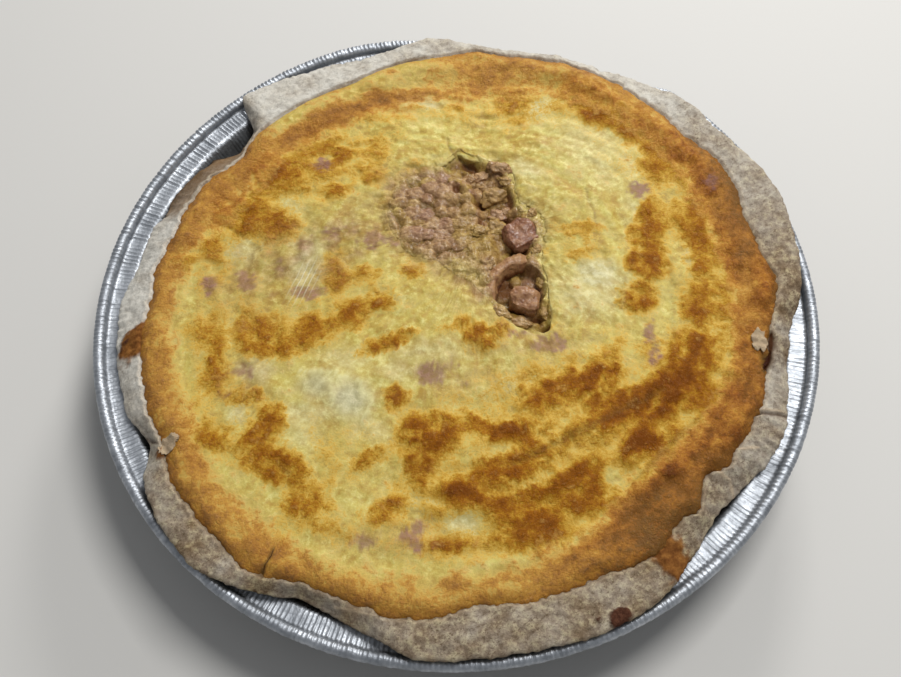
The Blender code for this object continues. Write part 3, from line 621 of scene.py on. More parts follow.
def seen_spots(x, y, table, softness=1.0):
    """Ovals at places read in the photo, brought to the tart's top through the photo's camera."""
    right, up, back = camera_axes()
    away = np.stack([x, y, np.full(len(x), SEEN_HEIGHT)], 1) - np.array(CAMERA_PLACE)
    scale = -LENS / SENSOR * FRAME_WIDTH / (away @ np.array(back))
    across = FRAME_WIDTH / 2 + scale * (away @ np.array(right))
    rise = scale * (away @ np.array(up)) - FRAME_HEIGHT / 2
    upward = [(column, -row, *rest) for column, row, *rest in table]
    return spots(across, rise, upward, softness, 1)


def from_segment(x, y, start, end):
    """How far along a straight stretch each point lies, from 0 to 1, and its distance from it."""
    along_x, along_y = end[0] - start[0], end[1] - start[1]
    share = ((x - start[0]) * along_x + (y - start[1]) * along_y) / (along_x ** 2 + along_y ** 2)
    share = np.clip(share, 0, 1)
    return share, np.hypot(x - start[0] - share * along_x, y - start[1] - share * along_y)


def lines(x, y, table):
    """How close each point is to thin lines that taper to their ends."""
    best = np.zeros(len(x))
    for start_x, start_y, end_x, end_y, width, strength in table:
        share, gap = from_segment(x, y, (start_x * MM, start_y * MM), (end_x * MM, end_y * MM))
        taper = 0.4 + 0.6 * np.sin(math.pi * np.clip(share, 0.05, 0.95))
        best = np.maximum(best, strength * np.exp(-((gap / (width * MM * taper)) ** 2)))
    return best


def scattered(x, y, spacing, seed):
    """Rounded lumps strewn a spacing apart: heights from 0 to about 1, and each lump's own number."""
    cells = 96
    picks = np.random.default_rng(seed).random((cells, cells, 6))
    column, row = np.floor(x / spacing).astype(int), np.floor(y / spacing).astype(int)
    height, own = np.zeros(len(x)), np.zeros(len(x))
    for step_x in (-1, 0, 1):
        for step_y in (-1, 0, 1):
            i, j = column + step_x, row + step_y
            pick = picks[i % cells, j % cells]
            away_x = x - (i + 0.2 + 0.6 * pick[:, 0]) * spacing
            away_y = y - (j + 0.2 + 0.6 * pick[:, 1]) * spacing
            turn = math.pi * pick[:, 2]
            size = spacing * (0.55 + 0.3 * pick[:, 3])
            flat = 0.75 + 0.25 * pick[:, 4]
            along = (away_x * np.cos(turn) + away_y * np.sin(turn)) / size
            across = (away_y * np.cos(turn) - away_x * np.sin(turn)) / (size * flat)
            cap = (0.6 + 0.4 * pick[:, 5]) * np.sqrt(np.clip(1 - along ** 2 - across ** 2, 0, 1))
            own = np.where(cap > height, pick[:, 4], own)
            height = np.maximum(height, cap)
    return height, own


REACH = closed_curve(PASTRY_REACH)
EDGE = rounded(np.minimum(closed_curve(FILLING_EDGE), REACH - BAND_LEAST), EDGE_WINDOW)
TEAR = closed_curve(TEAR_REACH)
RING_INSIDE = rounded(closed_curve(RING_INNER), EDGE_WINDOW)
LEAN = rounded(np.maximum(0, CASE_INNER_TOP - EDGE), LEAN_WINDOW)


def wall_radius(height):
    """Inside of the tin wall."""
    foot, top = FOIL, FLANGE_HEIGHT
    return FOOT_RADIUS + (WALL_TOP_RADIUS - FOOT_RADIUS) * (height - foot) / (top - foot)


def outer_wall(degrees, height):
    """Outside of the pastry wall, which leaves the tin where the pastry stands clear."""
    against_tin = wall_radius(height) - CASE_CLEARANCE
    top = wall_radius(FLANGE_HEIGHT) - CASE_CLEARANCE
    clear = np.maximum(0, top - (read_curve(REACH, degrees) - LIP_ROUNDING))
    return against_tin - clear * blend(LEAN_START, CASE_INNER_HEIGHT, height)


def inner_wall(degrees, height):
    """Inside of the pastry wall."""
    foot = FOIL + GAP + PASTRY
    rise = (height - foot) / (CASE_INNER_HEIGHT - foot)
    plain = CASE_FOOT_RADIUS + (CASE_INNER_TOP - CASE_FOOT_RADIUS) * rise
    leant = plain - read_curve(LEAN, degrees) * blend(LEAN_START, CASE_INNER_HEIGHT, height)
    return np.minimum(leant, outer_wall(degrees, height) - PASTRY_LEAST)


def drawn_in(points, inward, down, least):
    """Points moved towards the tin's axis and down; those nearer to it than the least move less."""
    x, y, z = points.T
    scale = 1 - inward / np.maximum(np.hypot(x, y), least)
    return np.stack([x * scale, y * scale, z - down], 1)


def pressed(points):
    """Points after the rim's dent: in and down at the far side, fading to the foot."""
    x, y, z = points.T
    away = (np.degrees(np.arctan2(y, x)) - DENT_ANGLE + 180) % 360 - 180
    share = bell(away, 0, DENT_SPREAD) * blend(DENT_INNER, DENT_OUTER, np.hypot(x, y))
    share = share * np.clip((z - FOIL) / (FLANGE_HEIGHT - FOIL), 0, 1)
    return drawn_in(points, DENT_IN * share, DENT_DOWN * share, DENT_INNER)


def tucked(points):
    """The tin's points after its rim is folded in under the pastry at the far right."""
    x, y, z = points.T
    share = within(TUCK_STRETCH, np.degrees(np.arctan2(y, x)))
    share = share * blend(WALL_TOP_RADIUS + 0.7 * MM, FLANGE_RADIUS, np.hypot(x, y))
    return drawn_in(points, TUCK_IN * share, TUCK_DOWN * share, FOOT_RADIUS)


def ring(degrees, radius, height):
    """Points of one ring about the tin's axis."""
    turn = np.radians(degrees)
    height = np.broadcast_to(height, turn.shape)
    return np.stack([radius * np.cos(turn), radius * np.sin(turn), height], 1)


def loft(name, rings):
    """A closed mesh through rings of equal length, with a single point as a first or last ring."""
    closed = len(rings[0]) > 1
    starts = np.cumsum([0] + [len(points) for points in rings])
    faces = []
    pairs = list(zip(range(len(rings) - 1), range(1, len(rings))))
    if closed:
        pairs.append((len(rings) - 1, 0))
    for upper, lower in pairs:
        count = max(len(rings[upper]), len(rings[lower]))
        here = np.arange(count)
        after = (here + 1) % count
        if len(rings[upper]) == 1:
            corners = (here * 0 + starts[upper], starts[lower] + here, starts[lower] + after)
        elif len(rings[lower]) == 1:
            corners = (starts[upper] + here, here * 0 + starts[lower], starts[upper] + after)
        else:
            corners = (
                starts[upper] + here, starts[lower] + here,
                starts[lower] + after, starts[upper] + after,
            )
        faces.extend(np.stack(corners, 1).tolist())
    mesh = bpy.data.meshes.new(name)
    mesh.from_pydata(np.concatenate([np.asarray(p, float) for p in rings]).tolist(), [], faces)
    mesh.shade_smooth()
    return mesh


def add_object(name, data):
    """A new object in the scene."""
    made = bpy.data.objects.new(name, data)
    bpy.context.scene.collection.objects.link(made)
    return made


def add_piece(mesh, material, slot, nodes=(), **layers):
    """Show a mesh as a piece on the tart, with values per vertex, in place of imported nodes."""
    piece = add_object(mesh.name, mesh)
    mesh.materials.append(material)
    for name, values in layers.items():
        layer = mesh.attributes.new(name, "FLOAT", "POINT")
        layer.data.foreach_set("value", np.asarray(values, np.float32))
    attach(piece, "root")
    if nodes:
        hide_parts(*nodes)
    return piece


def mesh_of(shape, name):
    """A smooth mesh from an edited one, which is freed."""
    mesh = bpy.data.meshes.new(name)
    shape.to_mesh(mesh)
    shape.free()
    mesh.shade_smooth()
    return mesh


def coordinates(mesh):
    """A mesh's vertices as an array."""
    points = np.zeros(len(mesh.vertices) * 3)
    mesh.vertices.foreach_get("co", points)
    return points.reshape(-1, 3)


def place(mesh, points):
    """Move a mesh's vertices."""
    mesh.vertices.foreach_set("co", np.asarray(points, float).ravel())
    mesh.update()


# Materials


def linear(value):
    """One channel of a colour, 0 to 255 as it looks, as the share that a shader takes."""
    share = value / 255
    return share / 12.92 if share <= 0.04045 else ((share + 0.055) / 1.055) ** 2.4


def paint(red, green, blue):
    """A colour read as it looks, 0 to 255, for a shader."""
    return (linear(red), linear(green), linear(blue), 1)


class Paint:
    """A Principled material and short ways to add nodes to it."""

    def __init__(self, name, roughness=0.5):
        self.material = bpy.data.materials.new(name)
        self.material.use_nodes = True
        self.tree = self.material.node_tree
        self.shader = self.tree.nodes["Principled BSDF"]
        self.shader.inputs["Roughness"].default_value = roughness
        self.place = self.tree.nodes.new("ShaderNodeTexCoord").outputs["Object"]

    def set(self, socket, value):
        """Link or set one input."""
        if isinstance(value, bpy.types.NodeSocket):
            self.tree.links.new(value, socket)
        else:
            socket.default_value = value

    def math(self, operation, first, second=0.0, third=None):
        """One step of arithmetic."""
        made = self.tree.nodes.new("ShaderNodeMath")
        made.operation = operation
        self.set(made.inputs[0], first)
        self.set(made.inputs[1], second)
        if third is not None:
            self.set(made.inputs[2], third)
        return made.outputs[0]

    def layer(self, name):
        """A value that the mesh carries at each vertex."""
        made = self.tree.nodes.new("ShaderNodeAttribute")
        made.attribute_name = name
        return made.outputs["Fac"]

    def texture(self, kind, stretch, turn, inputs):
        """A texture from 0 to 1, drawn out along axes that are turned."""
        made = self.tree.nodes.new(kind)
        mapped = self.tree.nodes.new("ShaderNodeMapping")
        mapped.vector_type = "TEXTURE"
        mapped.inputs["Scale"].default_value = stretch
        mapped.inputs["Rotation"].default_value = (0, 0, math.radians(turn))
        self.set(mapped.inputs["Vector"], self.place)
        self.set(made.inputs["Vector"], mapped.outputs[0])
        for name, value in inputs.items():
            made.inputs[name].default_value = value
        return made.outputs["Fac"]

    def noise(self, size, detail, roughness, stretch=(1, 1, 1), turn=0):
        """Noise with features of a size."""
        inputs = {"Scale": 1 / size, "Detail": detail, "Roughness": roughness}
        return self.texture("ShaderNodeTexNoise", stretch, turn, inputs)

    def waves(self, spacing, turn):
        """Thin wandering parallel lines along a direction."""
        inputs = {"Scale": math.pi / 10 / spacing, "Distortion": 2.4, "Detail Scale": 0.7}
        return self.texture("ShaderNodeTexWave", (1, 1, 1), turn - 90, inputs)

    def ramp(self, value, *stops):
        """Plain numbers, or colours as paint takes them, each after its position along a value."""
        made = self.tree.nodes.new("ShaderNodeValToRGB")
        self.set(made.inputs[0], value)
        while len(made.color_ramp.elements) < len(stops):
            made.color_ramp.elements.new(0.5)
        for element, stop in zip(made.color_ramp.elements, stops):
            element.position = stop[0]
        for element, (_, *colour) in zip(made.color_ramp.elements, stops):
            element.color = paint(*colour) if len(colour) == 3 else (*(colour * 3), 1)
        return made.outputs["Color"]

    def mix(self, share, first, second, kind="MIX"):
        """One colour blended towards another."""
        made = self.tree.nodes.new("ShaderNodeMix")
        made.data_type = "RGBA"
        made.blend_type = kind
        self.set(made.inputs[0], share)
        self.set(made.inputs[6], first)
        self.set(made.inputs[7], second)
        return made.outputs[2]

    def bump(self, height, distance, strength=1.0, normal=None):
        """Fine relief."""
        made = self.tree.nodes.new("ShaderNodeBump")
        made.inputs["Distance"].default_value = distance
        self.set(made.inputs["Strength"], strength)
        self.set(made.inputs["Height"], height)
        if normal is not None:
            self.set(made.inputs["Normal"], normal)
        return made.outputs[0]

    def finish(self, **sockets):
        """Set the shader's inputs, their names written with underscores."""
        for name, value in sockets.items():
            title = name.replace("_", " ").title().replace("Ior", "IOR")
            self.set(self.shader.inputs[title], value)
        return self.material


def foil_material():
    """Bright thin aluminium with fine crinkles; on the wall its colour is darker, a painted shade for the
    dim room that the wall reflects.
    """
    look = Paint("foil")
    crinkle = look.noise(1.1 * MM, 3, 0.65)
    scuff = look.noise(6 * MM, 5, 0.65)
    rim = look.ramp(scuff, (0.35, 146, 151, 158), (0.65, 192, 197, 204))
    # The wall's darker tone is painted shade: the same foil as the rim, dimmed
    wall = look.ramp(scuff, (0.4, 94, 95, 96), (0.65, 138, 142, 146))
    return look.finish(
        base_color=look.mix(look.layer("wall"), rim, wall), metallic=0.82,
        roughness=look.ramp(scuff, (0.35, 0.56), (0.65, 0.42)), normal=look.bump(crinkle, 0.3 * MM, 0.6),
    )


def pastry_material():
    """Pale floury baked pastry with dark specks, browned in places, with painted shade in its cracks, in
    the flap's crease, low on the case and on the notch's wall, and a painted highlight along its edge by
    the egg.
    """
    look = Paint("pastry", 0.9)
    mottle = look.noise(9 * MM, 6, 0.65)
    patchy = look.noise(2.4 * MM, 5, 0.7)
    grain = look.noise(0.8 * MM, 4, 0.75)
    flour = look.layer("flour")
    bare = look.math("MULTIPLY_ADD", flour, -0.7, 1.0)

    def bare_share(value, *stops):
        return look.math("MULTIPLY", bare, look.ramp(value, *stops))

    base = look.mix(flour, paint(122, 98, 68), paint(206, 203, 194))
    base = look.mix(bare_share(mottle, (0.42, 0.0), (0.62, 0.5)), base, paint(108, 88, 66))
    pale = look.mix(flour, paint(188, 172, 130), paint(214, 211, 202))
    base = look.mix(look.ramp(patchy, (0.48, 0.0), (0.66, 0.75)), base, pale)
    base = look.mix(bare_share(patchy, (0.34, 0.6), (0.48, 0.0)), base, paint(88, 72, 54))
    freckle = look.ramp(look.noise(0.7 * MM, 3, 0.7, (1.4, 1, 1), 35), (0.54, 0.0), (0.64, 0.85))
    clustered = look.math("MULTIPLY", freckle, look.ramp(mottle, (0.34, 0.5), (0.56, 1.0)))
    base = look.mix(look.math("MULTIPLY", bare, clustered), base, paint(86, 69, 49))
    base = look.mix(look.ramp(grain, (0.28, 0.4), (0.42, 0.0)), base, paint(200, 188, 160))
    # The brown layer is browning, and painted shade in the flap's crease, low on the case and on the
    # notch's wall
    toast = look.math("MULTIPLY", look.layer("brown"), look.ramp(grain, (0.2, 0.8), (0.6, 1.0)))
    base = look.mix(toast, base, paint(122, 92, 58))
    # The pale layer holds pale cracks and a painted highlight along the edge by the egg
    base = look.mix(look.layer("pale"), base, paint(208, 186, 156))
    # Painted shade in the pastry's cracks
    base = look.mix(look.layer("shaded_crack"), base, paint(66, 40, 22))
    spill = look.ramp(patchy, (0.35, 94, 56, 24), (0.5, 120, 76, 35), (0.65, 144, 98, 48))
    base = look.mix(look.layer("spill"), base, spill)
    scorch = look.ramp(grain, (0.35, 60, 34, 24), (0.65, 94, 60, 44))
    base = look.mix(look.layer("burnt"), base, scorch)
    normal = look.bump(grain, 0.35 * MM, 0.7, look.bump(patchy, 0.8 * MM, 0.6))
    return look.finish(base_color=base, normal=normal, specular_ior_level=0.1)


def textures(look):
    """Noise of three sizes, the same in the top and in the filling, and the two coarser ones summed."""
    coarse = look.noise(7 * MM, 5, 0.6)
    middle = look.noise(2.4 * MM, 5, 0.65)
    around = look.math("SUBTRACT", look.math("ADD", coarse, middle), 1.0)
    return coarse, middle, look.noise(0.8 * MM, 4, 0.75), around


def plain_colour(look, streak, coarse, middle, fine, around):
    """Baked egg and cheese that isn't browned: yellow with paler and duller places."""
    plain = look.ramp(
        look.math("MULTIPLY_ADD", around, 1.1, streak),
        (0.2, 176, 145, 70), (0.38, 188, 165, 84), (0.55, 202, 188, 104), (0.8, 218, 209, 132),
    )
    plain = look.mix(look.ramp(coarse, (0.44, 0.0), (0.64, 0.6)), plain, paint(176, 147, 82))
    plain = look.mix(look.ramp(middle, (0.54, 0.0), (0.68, 0.6)), plain, paint(224, 215, 142))
    return look.mix(look.ramp(fine, (0.3, 0.35), (0.44, 0.0)), plain, paint(166, 132, 60))


def mince_colour(look, middle, fine):
    """Minced ham bound with egg: pinkish on the lumps and olive brown between them, with painted shade
    low between the lumps, painted light on their tops and painted glints.
    """
    meat = look.ramp(middle, (0.34, 124, 86, 62), (0.5, 152, 114, 84), (0.66, 186, 148, 112))
    curd = look.ramp(middle, (0.34, 128, 98, 42), (0.5, 160, 128, 62), (0.66, 192, 162, 90))
    top = look.mix(look.layer("meat"), curd, meat)
    height = look.math("MULTIPLY_ADD", look.math("SUBTRACT", fine, 0.5), 0.4, look.layer("lump"))
    # Painted shade low between the lumps
    colour = look.mix(look.ramp(height, (0.1, 0.85), (0.6, 0.0)), top, paint(110, 80, 38))
    # Painted light on the lumps' tops
    colour = look.mix(look.ramp(height, (0.75, 0.0), (1.0, 0.3)), colour, paint(194, 162, 120))
    # Painted glints
    return look.mix(look.ramp(fine, (0.62, 0.0), (0.74, 0.35)), colour, paint(212, 188, 144))


def egg_material():
    """Baked egg and cheese: pale yellow, toasted golden to brown, with ham showing through."""
    look = Paint("egg_and_cheese")
    coarse, middle, fine, around = textures(look)
    speckle = look.math("SUBTRACT", fine, 0.5)
    plain = plain_colour(look, look.layer("streak"), coarse, middle, fine, around)
    # Milky places of the top, some of them painted highlights
    milk_and_highlight = look.ramp(middle, (0.4, 196, 186, 132), (0.6, 220, 214, 172))
    plain = look.mix(look.layer("milky_and_highlight"), plain, milk_and_highlight)

    uneven = look.ramp(look.layer("brown"), (0.0, 0.2), (0.3, 1.0))
    swing = look.math("MULTIPLY_ADD", around, 0.7, look.math("MULTIPLY", speckle, 0.95))
    toast = look.math("MULTIPLY_ADD", swing, uneven, look.layer("brown"))
    toasted = look.ramp(
        toast, (0.12, 207, 180, 94), (0.28, 204, 166, 74), (0.44, 194, 150, 52),
        (0.6, 176, 123, 29), (0.78, 148, 88, 8), (1.0, 118, 62, 0),
    )
    colour = look.mix(look.ramp(toast, (0.08, 0.0), (0.24, 1.0)), plain, toasted)

    drawn = look.math("MULTIPLY_ADD", look.layer("streak"), 0.5, -0.25)
    band = look.math("ADD", look.math("MULTIPLY_ADD", around, 1.0, look.layer("ring")), drawn)
    banded = look.ramp(
        look.math("MULTIPLY_ADD", speckle, 0.9, band), (0.2, 212, 172, 90), (0.42, 196, 142, 60),
        (0.62, 175, 115, 46), (0.82, 144, 85, 34), (1.0, 108, 60, 24),
    )
    colour = look.mix(look.ramp(band, (0.15, 0.0), (0.42, 0.88)), colour, banded)
    toasted_share = look.math("MAXIMUM", toast, band)
    grainy = look.ramp(toasted_share, (0.2, 0.1), (0.5, 1.0))
    # Painted glints: bright golden specks on the toasted parts stand in for highlights
    painted_glint = look.math("MULTIPLY", look.ramp(fine, (0.56, 0.0), (0.7, 0.4)), grainy)
    colour = look.mix(painted_glint, colour, paint(214, 158, 66))

    ham = look.math("MULTIPLY", look.layer("ham"), look.ramp(middle, (0.36, 0.6), (0.6, 1.0)))
    meat = look.ramp(middle, (0.36, 118, 80, 74), (0.62, 152, 112, 102))
    colour = look.mix(ham, colour, meat)
    grey = look.ramp(middle, (0.4, 172, 168, 132), (0.6, 202, 197, 160))
    colour = look.mix(look.layer("blister"), colour, grey)
    colour = look.mix(look.layer("mince"), colour, mince_colour(look, middle, fine))
    wrinkle = look.ramp(look.waves(WRINKLE_SPACING, WRINKLE_TURN), (0.76, 0.0), (0.95, 0.65))
    wrinkle = look.math("MULTIPLY", wrinkle, look.layer("wrinkle"))
    colour = look.mix(wrinkle, colour, paint(226, 222, 194))
    colour = look.mix(look.layer("raised"), colour, paint(222, 216, 160))
    # Painted shade: the top's creases and cracks are darkened
    shaded_crack = look.ramp(look.layer("crease"), (0.8, 108, 80, 36), (1.0, 62, 30, 16))
    colour = look.mix(look.layer("crease"), colour, shaded_crack)

    roast = look.ramp(toasted_share, (0.12, 0.25), (0.5, 1.0))
    normal = look.bump(middle, 1.5 * MM, look.math("MULTIPLY", roast, 0.8))
    normal = look.bump(fine, 0.5 * MM, roast, normal)
    normal = look.bump(wrinkle, 0.3 * MM, 0.5, normal)
    rough = look.ramp(fine, (0.35, 0.24), (0.6, 0.46))
    look.finish(coat_weight=0.08, coat_roughness=0.2, coat_normal=normal)
    return look.finish(base_color=colour, roughness=rough, normal=normal, specular_ior_level=0.08)


def filling_material():
    """Minced ham bound with egg, moist, and veiled by plain egg near the tear's edge, with painted shade
    in the deep channel and in the hollows.
    """
    look = Paint("ham_and_egg")
    coarse, middle, fine, around = textures(look)
    colour = mince_colour(look, middle, fine)
    colour = look.mix(look.layer("egg"), colour, plain_colour(look, 0.5, coarse, middle, fine, around))
    # Painted shade in the tear's deep channel and its hollows
    colour = look.mix(look.layer("deep"), colour, paint(110, 70, 38))
    normal = look.bump(middle, 1.2 * MM, 0.5)
    normal = look.bump(fine, 0.4 * MM, 0.7, normal)
    rough = look.ramp(fine, (0.35, 0.2), (0.6, 0.4))
    look.finish(specular_ior_level=0.28, coat_weight=0.2, coat_roughness=0.12)
    return look.finish(base_color=colour, roughness=rough, normal=normal)


def ham_material():
    """Cooked ham: dull pink, marbled and moist, with painted shade on the lower parts of its pieces."""
    look = Paint("ham", 0.38)
    marble = look.noise(2.6 * MM, 5, 0.65)
    fine = look.noise(0.6 * MM, 4, 0.7)
    meat = look.ramp(marble, (0.3, 98, 58, 42), (0.5, 128, 84, 62), (0.7, 156, 114, 84))
    light = look.ramp(marble, (0.35, 140, 98, 66), (0.65, 180, 140, 94))
    meat = look.mix(look.layer("pale"), meat, light)
    colour = look.mix(look.ramp(fine, (0.55, 0.0), (0.75, 0.25)), meat, paint(200, 164, 128))
    # Painted shade on the pieces' lower parts
    colour = look.mix(look.layer("deep"), colour, paint(100, 50, 28))
    normal = look.bump(fine, 0.2 * MM, 0.5, look.bump(marble, 0.9 * MM, 0.5))
    look.finish(specular_ior_level=0.28, coat_weight=0.15, coat_roughness=0.15)
    look.finish(subsurface_weight=0.12, subsurface_scale=1.5 * MM, subsurface_radius=(1, 0.45, 0.3))
    return look.finish(base_color=colour, normal=normal)


def floor_material():
    """Plain pale table."""
    return Paint("floor", 0.75).finish(base_color=paint(206, 205, 202))


# Foil tin


def tin_profile():
    """Radius and height of each ring of the tin: up the inside, over the rim and down the outside."""
    bead_middle = RIM_RADIUS - BEAD_RADIUS
    bead = []
    for turn in np.radians(np.linspace(BEAD_START, BEAD_END, BEAD_STEPS)):
        radius = bead_middle + BEAD_RADIUS * math.cos(turn)
        bead.append((radius, BEAD_HEIGHT + BEAD_RADIUS * math.sin(turn)))
    floor = [(radius * MM, FOIL) for radius in FLOOR_RADII]
    inside = [(wall_radius(z * MM), z * MM) for z in INSIDE_HEIGHTS]
    over = [(WALL_TOP_RADIUS, FLANGE_HEIGHT), *((radius * MM, z * MM) for radius, z in FLANGE_RINGS)]
    under = [
        (FLANGE_RADIUS, FLANGE_HEIGHT - FOIL), (108 * MM, 26.3 * MM),
        (WALL_TOP_RADIUS + FOIL_LEVEL, FLANGE_HEIGHT - FOIL),
    ]
    outside = [(wall_radius(z * MM) + FOIL_LEVEL, z * MM) for z in OUTSIDE_HEIGHTS]
    foot = [(FOOT_RADIUS - 1.3 * MM, 0), (70 * MM, 0)]
    raised = [(radius * MM, BASE_RISE) for radius in RAISED_RADII]
    return [*floor, *inside, *over, *bead, *under, *outside, *foot, *raised]


def make_tin():
    """Foil pan: crimped wall, a groove and a crinkled rolled rim."""
    degrees = evenly(CRIMPS * CRIMP_STEPS)
    crimp = np.repeat(np.random.default_rng(2).random(CRIMPS), CRIMP_STEPS)
    swing = np.sin(np.arange(len(degrees)) * 2 * math.pi / CRIMP_STEPS + 0.6)
    wave = CRIMP_DEPTH * (0.3 + 1.4 * crimp + 0.6 * round_relief(degrees, 9 * MM)) * swing
    crinkle = round_relief(degrees, 1.1 * MM, 1, 6) + 0.8 * round_relief(degrees, 3 * MM, 1, 8)
    knurl = KNURL_DEPTH * (0.8 * swing * (0.4 + 1.2 * crimp) + 0.6 * crinkle)
    rings = [[(0, 0, FOIL)]]
    for radius, height in tin_profile():
        on_wall = within(CRIMPED_RADII, radius)
        on_rim = blend(FLANGE_RADIUS - RIM_FADE, FLANGE_RADIUS, radius)
        on_flange = blend(WALL_TOP_RADIUS - 1 * MM, WALL_TOP_RADIUS + 1 * MM, radius) * (1 - on_rim)
        sag = SAG_DEPTH * round_relief(degrees, 3.1 * MM, 2, height * 150)
        move = wave * on_wall + sag * (on_wall + on_rim * 0.35) - 0.5 * np.abs(knurl) * on_rim
        lift = wave * 0.5 * on_flange + knurl * on_rim
        rings.append(ring(degrees, radius + move, height + lift * (height > 1 * MM)))
    rings.append([(0, 0, BASE_RISE)])
    mesh = loft("tin", rings)
    points = coordinates(mesh)
    radius = np.hypot(points[:, 0], points[:, 1])
    # Share of the foil that takes the wall's darker colour, a painted shade
    wall = 1 - blend(WALL_TOP_RADIUS - 1 * MM, WALL_TOP_RADIUS + 0.5 * MM, radius)
    place(mesh, pressed(tucked(points)))
    return add_piece(mesh, foil_material(), "foil", ["foil_tin"], wall=wall)


# Pastry case


def border(degrees):
    """Where the egg meets the pastry: the edge with small teeth."""
    calm = 1 - 0.75 * flap(np.asarray(degrees) % 360)
    return read_curve(EDGE, degrees) + round_layered(degrees, BORDER_TEETH) * calm


def flap(degrees):
    """1 along the cut flap on the far left, and 0 elsewhere."""
    return within(FLAP_STRETCH, degrees)


def band_height(degrees, share, reach):
    """Top of the pastry band, from the egg's edge at 0 to the lip at 1."""
    lip = LIP_LOW + (LIP_HIGH - LIP_LOW) * blend(LIP_SHORT, LIP_LONG, reach)
    return BAND_HEIGHT + (lip - BAND_HEIGHT) * share + LIP_CROWN * np.sin(math.pi * np.clip(share, 0, 1))


def pastry_band(degrees, shore, reach):
    """Rings of the band on top, from just under the egg's edge out to the lip."""
    start = read_curve(EDGE, degrees) - BAND_UNDERLAP
    rings = []
    for share in np.linspace(0, 1, BAND_RINGS):
        radius = start + (reach - LIP_ROUNDING - start) * share
        band_share = np.clip((radius - shore) / (reach - LIP_ROUNDING - shore), 0, 1)
        points = ring(degrees, radius, band_height(degrees, band_share, reach))
        x, y = points[:, 0], points[:, 1]
        uneven = layered(x, y, BAND_UNEVEN)
        outward = radius - shore
        shown = blend(*SHORE_FADE, outward)
        curb = bell(outward, 0.8 * MM, 0.6 * MM) * (1 - spots(x, y, SPILLS))
        lift = flap(degrees) * (1 - blend(0, 5 * MM, outward))
        points[:, 2] += (uneven + 0.4 * MM * lift) * shown - 0.8 * MM * (1 - shown) + 0.12 * MM * curb
        rings.append(points)
    return rings


def pastry_lip(degrees, lip, reach):
    """Rings round the lip's outer edge and back under it to the tin, with the skirt of the notch."""
    low = band_height(degrees, 1, reach) - LIP_THICKNESS
    skirt = within(SKIRT_STRETCH, degrees)
    out, drop = SKIRT * skirt, SKIRT_DROP * skirt
    ledge = reach - LIP_ROUNDING / 2 + out
    ledge = np.where(skirt > 0, np.minimum(ledge, wall_radius(low - drop) - CASE_CLEARANCE), ledge)
    under = np.minimum(reach - LIP_ROUNDING, wall_radius(FLANGE_HEIGHT) - CASE_CLEARANCE)
    under_height = FLANGE_HEIGHT + GAP - drop / 2
    middle_height = (under_height + low - drop) / 2 + 2 * GAP * (1 - skirt)
    return [
        ring(degrees, reach - 0.25 * LIP_ROUNDING, lip - 0.35 * LIP_ROUNDING),
        ring(degrees, reach, lip - LIP_ROUNDING),
        ring(degrees, reach - 0.15 * LIP_ROUNDING + 0.5 * out, (lip + low) / 2 - 0.3 * MM - 0.4 * drop),
        ring(degrees, ledge, low - drop),
        ring(degrees, (under + reach + out) / 2, middle_height),
        ring(degrees, under, under_height - drop / 2),
    ]


def make_pastry():
    """Pastry case: floor, leaning wall, and an uneven band that wanders over the rim."""
    degrees = evenly(PASTRY_SPOKES)
    reach = np.minimum(read_curve(REACH, degrees) + round_layered(degrees, REACH_UNEVEN), REACH_MOST)
    shore = border(degrees)
    start = read_curve(EDGE, degrees) - BAND_UNDERLAP
    floor = FOIL + GAP
    rings = [[(0, 0, floor + PASTRY)], ring(degrees, CASE_FOOT_RADIUS, floor + PASTRY)]
    for height in (*CASE_INSIDE_HEIGHTS, CASE_INNER_HEIGHT):
        rings.append(ring(degrees, np.minimum(inner_wall(degrees, height), start - 0.3 * MM), height))
    rings.append(ring(degrees, start, BAND_START_HEIGHT))
    rings += pastry_band(degrees, shore, reach)
    rings += pastry_lip(degrees, rings[-1][:, 2], reach)
    for height in CASE_OUTSIDE_HEIGHTS:
        points = ring(degrees, outer_wall(degrees, height), height)
        x, y = points[:, 0], points[:, 1]
        bulge = layered(x, y, WALL_UNEVEN) - 0.3 * MM
        rings.append(ring(degrees, np.hypot(x, y) + bulge, height))
    rings.append(ring(degrees, wall_radius(floor) - 3 * CASE_CLEARANCE, floor))
    rings.append([(0, 0, floor)])
    mesh = loft("crust", rings)
    points = coordinates(mesh)
    layers = pastry_layers(*points.T)
    top = blend(*BAND_FADE, points[:, 2])
    raised = 0.5 * layers["spill"] + 0.8 * layers["burnt"] - 0.6 * layers["shaded_crack"] + 0.3 * layers["pale"]
    points[:, 2] += top * MM * raised
    place(mesh, pressed(points))
    layers["shaded_crack"] *= 0.85
    # Pale cracks, and a painted highlight along the pastry's edge by the egg
    layers["pale"] = np.maximum(0.2 * layers.pop("edge_highlight"), 0.7 * layers["pale"])
    return add_piece(mesh, CRUST, "pastry", ["pastry_case"], **layers)


